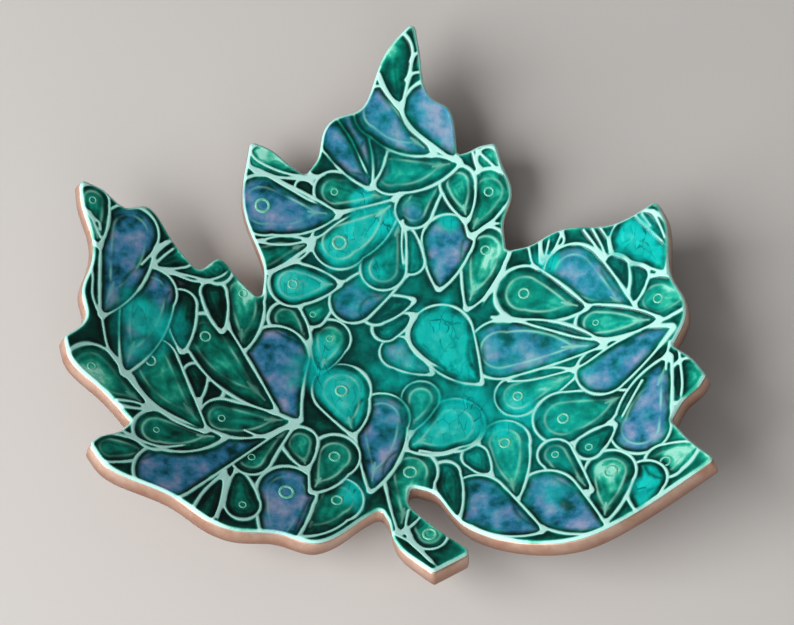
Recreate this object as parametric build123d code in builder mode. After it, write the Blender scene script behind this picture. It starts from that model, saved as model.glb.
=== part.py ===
"""Ring dish in the shape of a maple leaf. A slab of fired clay curls up at its edges. Raised lines part its
face into drops, coloured glaze fills each drop, and a copper coat covers the edge and the underside."""

import math
import os

from build123d import *

# Driving dimensions of the dish
leaf_width = 112 * MM
leaf_length = 102 * MM
dish_radius = 118 * MM
clay_thickness = 4.4 * MM
foot_depth = 1.2 * MM

# Driving dimensions of the lines and the glaze
line_width = 0.8 * MM
rim_width = 0.8 * MM
pool_depth = 1.0 * MM
glaze_step = 0.2 * MM

# Driving dimensions of small corners
tip_rounding = 0.9 * MM
overrun = 2 * MM

# Angles and shares that shape the work
quarter_turn = 90
corner_share = 0.42
drop_swell_share = 0.034
mould_height_share = 0.3

# The leaf's outline on the glazed face, anticlockwise, seen from above. Each row is one run: it starts at a
# rounded corner, and curves through its other points to the corner that starts the next row. x is a share of
# leaf_width and y a share of leaf_length, from the middle of the foot.
leaf_edge_shares = [
    # right side of the top lobe, up to its tip
    [(0.109, 0.309), (0.104, 0.362), (0.093, 0.391), (0.072, 0.404), (0.058, 0.425), (0.051, 0.470)],
    # left side of the top lobe, down over its shoulder
    [(0.041, 0.532), (0.014, 0.505), (-0.002, 0.485), (-0.026, 0.425), (-0.046, 0.388), (-0.084, 0.373),
     (-0.103, 0.349), (-0.113, 0.301)],
    # upper left lobe
    [(-0.131, 0.272), (-0.153, 0.286), (-0.190, 0.314)],
    [(-0.219, 0.324), (-0.230, 0.230), (-0.218, 0.168), (-0.194, 0.094)],
    # left lobe, out to its upper tip
    [(-0.197, 0.039), (-0.240, 0.086), (-0.266, 0.111), (-0.294, 0.089), (-0.313, 0.104), (-0.345, 0.148),
     (-0.380, 0.187), (-0.406, 0.179), (-0.440, 0.201)],
    [(-0.477, 0.214), (-0.472, 0.170), (-0.458, 0.126), (-0.457, 0.060), (-0.466, 0.015), (-0.459, -0.028),
     (-0.468, -0.050)],
    [(-0.488, -0.073), (-0.480, -0.105), (-0.445, -0.145), (-0.411, -0.177)],
    # lower left lobe
    [(-0.384, -0.211), (-0.399, -0.231), (-0.428, -0.249)],
    [(-0.441, -0.264), (-0.420, -0.296), (-0.377, -0.321)],
    [(-0.314, -0.346), (-0.262, -0.385), (-0.215, -0.400), (-0.160, -0.400)],
    [(-0.108, -0.415), (-0.068, -0.395), (-0.035, -0.364)],
    # stem
    [(-0.011, -0.345), (0.001, -0.370), (0.007, -0.400), (0.027, -0.435)],
    [(0.065, -0.472)],
    [(0.124, -0.434), (0.080, -0.393), (0.048, -0.360), (0.030, -0.330)],
    # lower right lobe
    [(0.034, -0.302), (0.066, -0.315), (0.085, -0.340), (0.105, -0.372), (0.150, -0.405)],
    [(0.195, -0.420), (0.240, -0.426), (0.280, -0.422), (0.336, -0.398), (0.408, -0.352)],
    [(0.478, -0.303), (0.445, -0.257)],
    # right lobe
    [(0.422, -0.216), (0.443, -0.180), (0.467, -0.157)],
    [(0.476, -0.141), (0.456, -0.104)],
    [(0.431, -0.076), (0.451, -0.030), (0.450, 0.010), (0.436, 0.045), (0.431, 0.080), (0.428, 0.155)],
    [(0.416, 0.189), (0.385, 0.173), (0.355, 0.162), (0.320, 0.161), (0.281, 0.165), (0.250, 0.156),
     (0.222, 0.141)],
    # upper right lobe
    [(0.184, 0.134), (0.182, 0.190), (0.193, 0.225), (0.192, 0.255), (0.179, 0.290)],
    [(0.170, 0.326), (0.145, 0.322), (0.125, 0.313)],
]

# Drops of each part of the leaf: glaze, bulb x and y, tip x and y, bulb radius, and the tail's bend to the
# left. x and the radius are shares of leaf_width, y of leaf_length, and the bend of the drop's own length.
# Where two drops meet, the one earlier in its list is whole and the later one passes behind it.
left_lobe_drop_shares = [
    ("green", -0.457, 0.180, -0.447, 0.105, 0.021, 0.00),
    ("violet", -0.400, 0.138, -0.436, -0.020, 0.039, 0.05),
    ("violet", -0.368, 0.035, -0.400, -0.122, 0.037, 0.03),
    ("green", -0.362, -0.092, -0.277, -0.212, 0.037, -0.06),
    ("green", -0.447, -0.120, -0.362, -0.180, 0.034, -0.04),
    ("green", -0.325, 0.112, -0.368, 0.085, 0.020, 0.00),
    ("green", -0.268, 0.092, -0.350, 0.080, 0.021, -0.10),
    ("deep", -0.321, 0.020, -0.316, -0.066, 0.021, 0.00),
    ("deep", -0.272, 0.048, -0.258, -0.020, 0.017, 0.00),
    ("green", -0.282, -0.034, -0.174, -0.163, 0.035, -0.05),
    ("green", -0.227, 0.052, -0.228, -0.056, 0.031, 0.05),
    ("violet", -0.174, -0.060, -0.136, -0.178, 0.048, -0.10),
    ("green", -0.348, -0.222, -0.250, -0.223, 0.031, -0.05),
    ("green", -0.253, -0.186, -0.147, -0.180, 0.030, -0.05),
    ("deep", -0.295, -0.107, -0.290, -0.156, 0.015, 0.00),
    ("deep", -0.270, -0.135, -0.282, -0.176, 0.015, 0.00),
    ("violet", -0.330, -0.300, -0.158, -0.191, 0.044, 0.06),
    ("green", -0.206, -0.256, -0.146, -0.190, 0.028, 0.08),
    ("green", -0.412, -0.268, -0.348, -0.264, 0.022, 0.00),
    ("deep", -0.270, -0.368, -0.246, -0.300, 0.014, 0.00),
    ("green", -0.216, -0.350, -0.224, -0.284, 0.023, 0.00),
    ("green", -0.134, -0.223, -0.124, -0.270, 0.024, 0.00),
    ("green", -0.081, -0.247, -0.114, -0.316, 0.035, 0.05),
    ("violet", -0.152, -0.320, -0.165, -0.452, 0.042, 0.00),
    ("green", -0.076, -0.332, -0.136, -0.402, 0.036, 0.05),
]
top_lobe_drop_shares = [
    ("green", 0.012, 0.478, 0.018, 0.398, 0.024, -0.04),
    ("violet", 0.066, 0.388, 0.104, 0.306, 0.040, 0.05),
    ("violet", -0.016, 0.384, 0.068, 0.314, 0.036, -0.05),
    ("violet", -0.074, 0.344, -0.030, 0.256, 0.036, 0.00),
    ("deep", -0.024, 0.318, -0.030, 0.260, 0.018, 0.00),
    ("green", 0.004, 0.282, 0.112, 0.296, 0.032, -0.05),
    ("green", 0.110, 0.260, 0.124, 0.196, 0.025, 0.00),
    ("green", 0.159, 0.242, 0.130, 0.168, 0.033, 0.00),
    ("green", 0.041, 0.216, 0.106, 0.290, 0.027, 0.10),
    ("violet", -0.199, 0.214, -0.082, 0.206, 0.045, -0.04),
    ("green", -0.198, 0.294, -0.126, 0.270, 0.021, 0.05),
    ("green", -0.086, 0.246, 0.012, 0.240, 0.029, 0.05),
    ("deep", -0.134, 0.250, -0.108, 0.228, 0.011, 0.00),
    ("green", -0.193, 0.124, -0.124, 0.152, 0.023, 0.05),
    ("green", 0.158, 0.300, 0.172, 0.262, 0.014, 0.00),
]
heart_drop_shares = [
    ("turquoise", -0.077, 0.156, 0.016, 0.234, 0.041, -0.06),
    ("deep", -0.008, 0.110, 0.022, 0.206, 0.033, 0.05),
    ("green", 0.036, 0.122, 0.030, 0.186, 0.018, 0.00),
    ("violet", 0.094, 0.160, 0.080, 0.014, 0.038, 0.00),
    ("turquoise", -0.150, 0.076, -0.078, 0.080, 0.034, 0.00),
    ("violet", -0.056, 0.048, 0.036, 0.112, 0.033, 0.05),
    ("green", -0.160, 0.012, -0.124, -0.030, 0.024, 0.00),
    ("green", -0.118, 0.022, -0.084, 0.066, 0.018, 0.00),
    ("green", -0.091, -0.022, -0.104, -0.084, 0.029, 0.00),
    ("deep", -0.020, 0.032, 0.038, 0.050, 0.021, 0.00),
    ("deep", -0.004, -0.002, 0.038, 0.022, 0.018, 0.00),
    ("turquoise", 0.082, -0.014, 0.142, -0.108, 0.047, -0.05),
    ("violet", 0.014, -0.046, 0.066, -0.086, 0.024, 0.00),
    ("turquoise", -0.072, -0.120, -0.054, -0.202, 0.042, 0.05),
    ("violet", -0.010, -0.172, -0.026, -0.312, 0.040, 0.04),
    ("green", 0.050, -0.134, 0.031, -0.198, 0.026, 0.00),
    ("turquoise", 0.102, -0.188, 0.028, -0.228, 0.043, 0.05),
    ("green", 0.034, -0.276, 0.018, -0.392, 0.038, 0.05),
    ("green", 0.062, -0.398, 0.034, -0.330, 0.024, 0.05),
    ("deep", 0.087, -0.282, 0.104, -0.366, 0.019, 0.00),
]
right_lobe_drop_shares = [
    ("violet", 0.174, -0.048, 0.328, -0.056, 0.047, 0.05),
    ("green", 0.212, 0.054, 0.306, 0.016, 0.042, -0.04),
    ("green", 0.320, -0.014, 0.412, -0.024, 0.027, 0.00),
    ("violet", 0.288, 0.086, 0.380, -0.006, 0.041, -0.04),
    ("deep", 0.352, 0.084, 0.366, 0.030, 0.017, 0.00),
    ("deep", 0.382, 0.060, 0.374, 0.010, 0.017, 0.00),
    ("green", 0.414, 0.014, 0.466, 0.006, 0.034, 0.00),
    ("turquoise", 0.390, 0.126, 0.420, 0.056, 0.042, 0.00),
    ("green", 0.258, 0.146, 0.242, 0.112, 0.014, 0.00),
    ("green", 0.153, 0.138, 0.124, 0.034, 0.035, 0.04),
    ("violet", 0.134, -0.336, 0.226, -0.402, 0.042, -0.05),
    ("deep", 0.132, -0.250, 0.152, -0.286, 0.017, 0.00),
    ("green", 0.177, -0.226, 0.190, -0.340, 0.035, 0.00),
    ("violet", 0.236, -0.340, 0.318, -0.408, 0.046, -0.05),
    ("deep", 0.252, -0.256, 0.300, -0.332, 0.023, -0.05),
    ("green", 0.302, -0.248, 0.340, -0.212, 0.018, 0.00),
    ("green", 0.331, -0.300, 0.316, -0.396, 0.034, 0.00),
    ("turquoise", 0.380, -0.322, 0.368, -0.384, 0.028, 0.00),
    ("green", 0.410, -0.294, 0.458, -0.272, 0.026, 0.00),
    ("violet", 0.378, -0.224, 0.426, -0.098, 0.041, 0.05),
    ("violet", 0.328, -0.106, 0.432, -0.044, 0.037, 0.04),
    ("green", 0.455, -0.140, 0.422, -0.184, 0.028, 0.00),
    ("green", 0.266, -0.188, 0.370, -0.154, 0.042, -0.04),
    ("green", 0.199, -0.138, 0.290, -0.104, 0.032, 0.04),
]
drop_lists = {
    "left_lobe": left_lobe_drop_shares,
    "top_lobe": top_lobe_drop_shares,
    "heart": heart_drop_shares,
    "right_lobe": right_lobe_drop_shares,
}

# Sizes that follow from the driving dimensions
underside_radius = dish_radius + clay_thickness
dish_centre = underside_radius - foot_depth
mould_height = mould_height_share * dish_radius


def edge_runs_on_face():
    """The outline's runs in plan, as they lie on the glazed face."""
    return [[Vector(x * leaf_width, y * leaf_length) for x, y in run] for run in leaf_edge_shares]


def edge_runs_on_mould():
    """The same runs thrown outwards from the dish's centre onto a flat plane under the glazed face."""
    return [
        [place * (dish_radius / math.sqrt(dish_radius**2 - place.length**2)) for place in run]
        for run in edge_runs_on_face()
    ]


def moved_out(runs, distance):
    """The same runs with every point moved square to the edge, outwards, or inwards by a negative distance."""
    sizes = [len(run) for run in runs]
    places = [place for run in runs for place in run]
    moved = []
    for index, place in enumerate(places):
        before = (place - places[index - 1]).normalized()
        after = (places[(index + 1) % len(places)] - place).normalized()
        outwards = Vector(before.Y + after.Y, -before.X - after.X).normalized()
        half_turn = math.radians(before.get_angle(after)) / 2
        moved.append(place + outwards * (distance / math.cos(half_turn)))
    return [moved[sum(sizes[:row]):sum(sizes[:row + 1])] for row in range(len(sizes))]


def draw_leaf(runs, distance=0):
    """Draws the outline moved out by a distance: an arc at each sharp corner, and a line or curve between arcs."""
    runs = moved_out(runs, distance)
    leaving = [(run + following[:1])[1] - run[0] for run, following in zip(runs, runs[1:] + runs[:1])]
    arriving = [run[0] - before[-1] for run, before in zip(runs, runs[-1:] + runs[:-1])]
    arc_starts, arc_ends = [], []
    for run, way_in, way_out in zip(runs, arriving, leaving):
        before, after = way_in.normalized(), way_out.normalized()
        half_turn = math.radians(before.get_angle(after)) / 2
        rounding = tip_rounding + math.copysign(distance, distance * before.cross(after).Z)
        room = corner_share * min(way_in.length, way_out.length)
        setback = min(rounding * math.tan(half_turn), room)
        radius = setback / math.tan(half_turn)
        arc_starts.append(run[0] - before * setback)
        arc_ends.append(run[0] + after * setback)
        middle = run[0] + (after - before).normalized() * (radius / math.cos(half_turn) - radius)
        ThreePointArc(arc_starts[-1], middle, arc_ends[-1])
    for place, run in enumerate(runs):
        start, end = arc_ends[place], arc_starts[(place + 1) % len(runs)]
        if len(run) == 1:
            Line(start, end)
        else:
            Spline(start, *run[1:], end, tangents=(leaving[place], arriving[(place + 1) % len(runs)]))


def cut_leaf():
    """A block whose walls all point at the dish's centre, so that a curled slab's edge is square to its face."""
    with BuildPart() as block:
        for height in (0, mould_height):
            shrink = (dish_centre - height) / dish_radius
            with BuildSketch(Plane.XY.offset(height)):
                with BuildLine():
                    runs = [[place * shrink for place in run] for run in edge_runs_on_mould()]
                    draw_leaf(runs)
                make_face()
        loft(ruled=True)
    return block.part


def ball(radius, mode):
    """A ball about the dish's centre, with its poles level with that centre, away from the dish."""
    with Locations((0, 0, dish_centre)):
        Sphere(radius, rotation=(quarter_turn, 0, 0), mode=mode)


def drop_shape(drop, growth=0):
    """One teardrop in plan: most of a circle, and two arcs from it that meet at the tip."""
    bulb_x, bulb_y, tip_x, tip_y, radius_share, bend_share = drop[1:]
    bulb = Vector(bulb_x * leaf_width, bulb_y * leaf_length)
    tip = Vector(tip_x * leaf_width, tip_y * leaf_length)
    along = (tip - bulb).normalized()
    across = Vector(-along.Y, along.X)
    radius = radius_share * leaf_width + growth
    tip = tip + along * growth
    length = (tip - bulb).length
    spread = math.acos(min(radius / length, 1))
    touch = along * (radius * math.cos(spread))
    side = across * (radius * math.sin(spread))
    left_touch = bulb + touch + side
    right_touch = bulb + touch - side
    bend = across * (bend_share * length)
    swell = across * (drop_swell_share * length)
    with BuildSketch(mode=Mode.PRIVATE) as shape:
        with BuildLine():
            ThreePointArc(left_touch, bulb - along * radius, right_touch)
            ThreePointArc(right_touch, (right_touch + tip) / 2 + bend - swell, tip)
            ThreePointArc(tip, (left_touch + tip) / 2 + bend + swell, left_touch)
        make_face()
    return shape.sketch


with BuildSketch() as glazed_leaf:
    with BuildLine():
        draw_leaf(edge_runs_on_face(), -rim_width)
    make_face()


def cut_back_drops():
    """Every drop's pool in plan, by glaze and part of the leaf, cut back by the lines round the drops before it."""
    pools = {}
    lines_before = []
    for lobe, drops in drop_lists.items():
        for drop in drops:
            shape = drop_shape(drop)
            box = shape.bounding_box()
            covers = [line for line, line_box in lines_before if box.overlaps(line_box)]
            with BuildSketch(mode=Mode.PRIVATE) as pool:
                add(shape)
                if covers:
                    add(covers, mode=Mode.SUBTRACT)
            pools.setdefault(f"{drop[0]}_glaze_{lobe}", []).append(pool.sketch)
            line = drop_shape(drop, line_width)
            lines_before.append((line, line.bounding_box()))
    return pools


os.makedirs("parts", exist_ok=True)

# The glaze in each group of drops, and the pocket that it fills in the clay
pocket_groups = []
for name, sketches in cut_back_drops().items():
    with BuildPart() as pockets:
        with BuildSketch():
            add(sketches)
            add(glazed_leaf.sketch, mode=Mode.INTERSECT)
        extrude(amount=mould_height)
        ball(dish_radius + pool_depth, Mode.INTERSECT)
        ball(dish_radius - overrun, Mode.SUBTRACT)
    pocket_groups.append(pockets.part)
    with BuildPart() as glaze:
        add(pockets.part)
        ball(dish_radius + glaze_step, Mode.SUBTRACT)
    glaze.part.label = name
    export_step(glaze.part, f"parts/{name}.step")

# The clay slab, with its foot flat on the table
with BuildPart() as clay_body:
    add(cut_leaf())
    ball(underside_radius, Mode.INTERSECT)
    ball(dish_radius, Mode.SUBTRACT)
    add(pocket_groups, mode=Mode.SUBTRACT)
clay_body.part.label = "clay_body"
export_step(clay_body.part, "parts/clay_body.step")
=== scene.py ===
# %% [markdown]
# # A leaf-shaped ring dish in glazed ceramic
#
# The real dish is one slab of clay, cut to a maple leaf's outline and bent over a ball so that its lobes curl
# up. Lines of slip, a runny clay, are trailed on its face. The glaze runs off these lines and pools between
# them, so the lines stay pale and the pools turn dark beside them. Bits of glass melt into a few pools and
# craze. The edge and the underside are painted copper, and the foot is bare clay.
#
# This lesson makes the face as one fine triangle mesh whose heights and colours come from distances: how
# far a point is from the nearest line says how high the slip is there, and how deep the glaze.

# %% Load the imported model
import math

import bpy
import numpy as np
from mathutils.geometry import delaunay_2d_cdt
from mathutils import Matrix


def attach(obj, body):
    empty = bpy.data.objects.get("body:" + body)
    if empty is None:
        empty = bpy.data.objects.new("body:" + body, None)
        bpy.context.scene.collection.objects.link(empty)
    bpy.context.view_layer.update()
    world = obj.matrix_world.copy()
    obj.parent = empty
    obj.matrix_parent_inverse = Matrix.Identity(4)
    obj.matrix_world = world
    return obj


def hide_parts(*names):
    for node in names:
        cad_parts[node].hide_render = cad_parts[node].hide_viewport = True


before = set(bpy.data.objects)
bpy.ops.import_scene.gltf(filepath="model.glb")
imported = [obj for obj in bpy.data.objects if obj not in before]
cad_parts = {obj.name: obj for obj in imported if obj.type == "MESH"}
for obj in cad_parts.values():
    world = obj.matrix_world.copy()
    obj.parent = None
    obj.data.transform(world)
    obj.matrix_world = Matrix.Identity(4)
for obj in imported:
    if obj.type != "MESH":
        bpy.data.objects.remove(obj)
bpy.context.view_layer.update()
print("CAD nodes:", len(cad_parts))

# %% [markdown]
# ## Sizes
#
# The first group repeats the CAD part's sizes, in metres, because the visual pieces have to stay inside its
# box. The second group follows from it: the ball that the slab was bent over, and the foot that was sanded
# flat. The third holds what only the eye needs: how far a line of slip stands out of the glaze, how the rim
# rolls over, and how fine the mesh is. A line is about 0.8 mm wide, so a mesh of 0.145 mm gives it five or
# six points.

# %% Sizes in metres
MM = 0.001
leaf_width = 112 * MM
leaf_length = 102 * MM
dish_radius = 118 * MM
clay_thickness = 4.4 * MM
foot_depth = 1.2 * MM
line_width = 0.8 * MM
tip_rounding = 0.9 * MM
corner_share = 0.42

leaf_size = np.array([leaf_width, leaf_length])
underside_radius = dish_radius + clay_thickness
dish_centre = underside_radius - foot_depth
foot_radius = math.sqrt(underside_radius**2 - dish_centre**2)

mesh_step = 0.145 * MM
glaze_thickness = 0.62 * MM
glaze_sink = 0.18 * MM
rim_roll = 0.5 * MM
print("Foot radius in mm:", round(foot_radius / MM, 2))

# %% [markdown]
# ## The leaf's outline
#
# Each row is one run of the edge, from one corner to the next, in shares of the leaf's width and length. As
# in the CAD part, every run is a smooth curve, and small arcs join the runs. The CAD part has three more
# soft corners under the lower lobes. The runs go on without them here, because the real edge is smooth
# there.

# %% Outline shares
leaf_edge_shares = [
    # right side of the top lobe, up to its tip
    [(0.109, 0.309), (0.104, 0.362), (0.093, 0.391), (0.072, 0.404), (0.058, 0.425), (0.051, 0.470)],
    # left side of the top lobe, down over its shoulder
    [(0.041, 0.532), (0.014, 0.505), (-0.002, 0.485), (-0.026, 0.425), (-0.046, 0.388), (-0.084, 0.373),
     (-0.103, 0.349), (-0.113, 0.301)],
    # upper left lobe
    [(-0.131, 0.272), (-0.153, 0.286), (-0.190, 0.314)],
    [(-0.219, 0.324), (-0.230, 0.230), (-0.218, 0.168), (-0.194, 0.094)],
    # left lobe, out to its upper tip
    [(-0.197, 0.039), (-0.240, 0.086), (-0.266, 0.111), (-0.294, 0.089), (-0.313, 0.104), (-0.345, 0.148),
     (-0.380, 0.187), (-0.406, 0.179), (-0.440, 0.201)],
    [(-0.477, 0.214), (-0.472, 0.170), (-0.458, 0.126), (-0.457, 0.060), (-0.466, 0.015), (-0.459, -0.028),
     (-0.468, -0.050)],
    [(-0.488, -0.073), (-0.480, -0.105), (-0.445, -0.145), (-0.411, -0.177)],
    # lower left lobe
    [(-0.384, -0.211), (-0.399, -0.231), (-0.428, -0.249)],
    [(-0.441, -0.264), (-0.420, -0.296), (-0.377, -0.321), (-0.314, -0.346), (-0.262, -0.385),
     (-0.215, -0.400), (-0.160, -0.400), (-0.108, -0.415), (-0.068, -0.395), (-0.035, -0.364)],
    # stem
    [(-0.011, -0.345), (0.001, -0.370), (0.007, -0.400), (0.027, -0.435)],
    [(0.065, -0.472)],
    [(0.124, -0.434), (0.080, -0.393), (0.048, -0.360), (0.030, -0.330)],
    # lower right lobe
    [(0.034, -0.302), (0.066, -0.315), (0.085, -0.340), (0.105, -0.372), (0.150, -0.405), (0.195, -0.420),
     (0.240, -0.426), (0.280, -0.422), (0.336, -0.398), (0.408, -0.352)],
    [(0.478, -0.303), (0.445, -0.257)],
    # right lobe
    [(0.422, -0.216), (0.443, -0.180), (0.467, -0.157)],
    [(0.476, -0.141), (0.456, -0.104)],
    [(0.431, -0.076), (0.451, -0.030), (0.450, 0.010), (0.436, 0.045), (0.431, 0.080), (0.428, 0.155)],
    [(0.416, 0.189), (0.385, 0.173), (0.355, 0.162), (0.320, 0.161), (0.281, 0.165), (0.250, 0.156),
     (0.222, 0.141)],
    # upper right lobe
    [(0.184, 0.134), (0.182, 0.190), (0.193, 0.225), (0.192, 0.255), (0.179, 0.290)],
    [(0.170, 0.326), (0.145, 0.322), (0.125, 0.313)],
]

# %% [markdown]
# A smooth curve through given points, with a given direction at each end, is a clamped cubic spline. Its
# unknowns are the directions at the points between, and they come from one small set of linear equations.

# %% A smooth curve through points
def unit(vector):
    """The vector's direction, with a length of 1."""
    return vector / np.hypot(*vector)


def curve_through(points, leaving, arriving, step):
    """Points every step or so along a cubic spline, which has the given unit directions at its ends."""
    points = np.array(points, float)
    gaps = np.hypot(*np.diff(points, axis=0).T)
    count = len(points)
    if count == 2:
        slopes = np.array([leaving, arriving])
    else:
        system, right = np.eye(count), np.zeros((count, 2))
        right[0], right[-1] = leaving, arriving
        for i in range(1, count - 1):
            before, after = gaps[i - 1], gaps[i]
            system[i, i - 1:i + 2] = 1 / before, 2 / before + 2 / after, 1 / after
            right[i] = 3 * ((points[i] - points[i - 1]) / before**2 + (points[i + 1] - points[i]) / after**2)
        slopes = np.linalg.solve(system, right)
    found = []
    for i, gap in enumerate(gaps):
        t = np.linspace(0, 1, max(2, math.ceil(gap / step)) + 1)[:-1, None]
        found.append(
            (2 * t**3 - 3 * t**2 + 1) * points[i] + (t**3 - 2 * t**2 + t) * gap * slopes[i]
            + (3 * t**2 - 2 * t**3) * points[i + 1] + (t**3 - t**2) * gap * slopes[i + 1]
        )
    return np.vstack(found + [points[-1:]])


# %% [markdown]
# The corners between runs, and the round ends and sides of the drops, are arcs of circles. Three points give
# a circle, and the middle one says which way round it the arc goes.

# %% An arc through three points
def arc_through(start, middle, end, count):
    """Points along the circle's arc from start through middle to end."""
    (ax, ay), (bx, by), (cx, cy) = start, middle, end
    twice_area = 2 * (ax * (by - cy) + bx * (cy - ay) + cx * (ay - by))
    squares = [x * x + y * y for x, y in (start, middle, end)]
    centre = np.array([
        (squares[0] * (by - cy) + squares[1] * (cy - ay) + squares[2] * (ay - by)) / twice_area,
        (squares[0] * (cx - bx) + squares[1] * (ax - cx) + squares[2] * (bx - ax)) / twice_area,
    ])
    first, mid, last = (math.atan2(*(np.array(p) - centre)[::-1]) for p in (start, middle, end))
    turn = (last - first) % math.tau
    if (mid - first) % math.tau > turn:
        turn -= math.tau
    angles = first + turn * np.linspace(0, 1, count)
    radius = math.dist(start, centre)
    return centre + radius * np.stack([np.cos(angles), np.sin(angles)], axis=1)


# %% [markdown]
# A corner is cut back by as much as its rounding needs, but never by more than a share of the shorter side,
# so that sharp tips stay sharp. Then each run is drawn between the corners at its ends.

# %% The outline
outline_step = 0.35 * MM
corner_points = 7


def leaf_outline(step):
    """The glazed face's edge in plan, anticlockwise, as one closed row of points."""
    runs = [np.array(run) * leaf_size for run in leaf_edge_shares]
    corners = []
    for i, run in enumerate(runs):
        following = np.vstack([run, runs[(i + 1) % len(runs)][:1]])
        way_in, way_out = run[0] - runs[i - 1][-1], following[1] - run[0]
        before, after = unit(way_in), unit(way_out)
        half_turn = math.acos(np.clip(before @ after, -1, 1)) / 2
        shorter = min(math.hypot(*way_in), math.hypot(*way_out))
        setback = min(tip_rounding * math.tan(half_turn), corner_share * shorter)
        radius = setback / math.tan(half_turn)
        middle = run[0] + unit(after - before) * (radius / math.cos(half_turn) - radius)
        corners.append((run[0] - before * setback, middle, run[0] + after * setback, before, after))
    line = []
    for i, run in enumerate(runs):
        start, middle, end, _, leaving = corners[i]
        next_start, _, _, arriving, _ = corners[(i + 1) % len(runs)]
        line.append(arc_through(start, middle, end, corner_points)[:-1])
        line.append(curve_through([end, *run[1:], next_start], leaving, arriving, step)[:-1])
    return np.vstack(line)


outline = leaf_outline(outline_step)
print("Outline points:", len(outline), " length in mm:",
      round(1000 * float(np.hypot(*(np.roll(outline, -1, axis=0) - outline).T).sum())))

# %% [markdown]
# ## Where the drops are
#
# A drop is a teardrop between lines of slip. Each row gives its glaze, the middle of its round end, its tip,
# the round end's radius, and how far its tail bends. The last two numbers say how strong a finer line is
# trailed inside the drop, and how large its eyelet is, with 0 for none. Places and radii are shares of the
# leaf's sizes. A drop that comes earlier in its list is whole, and later ones pass behind it, as overlapping
# feathers do.

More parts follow.
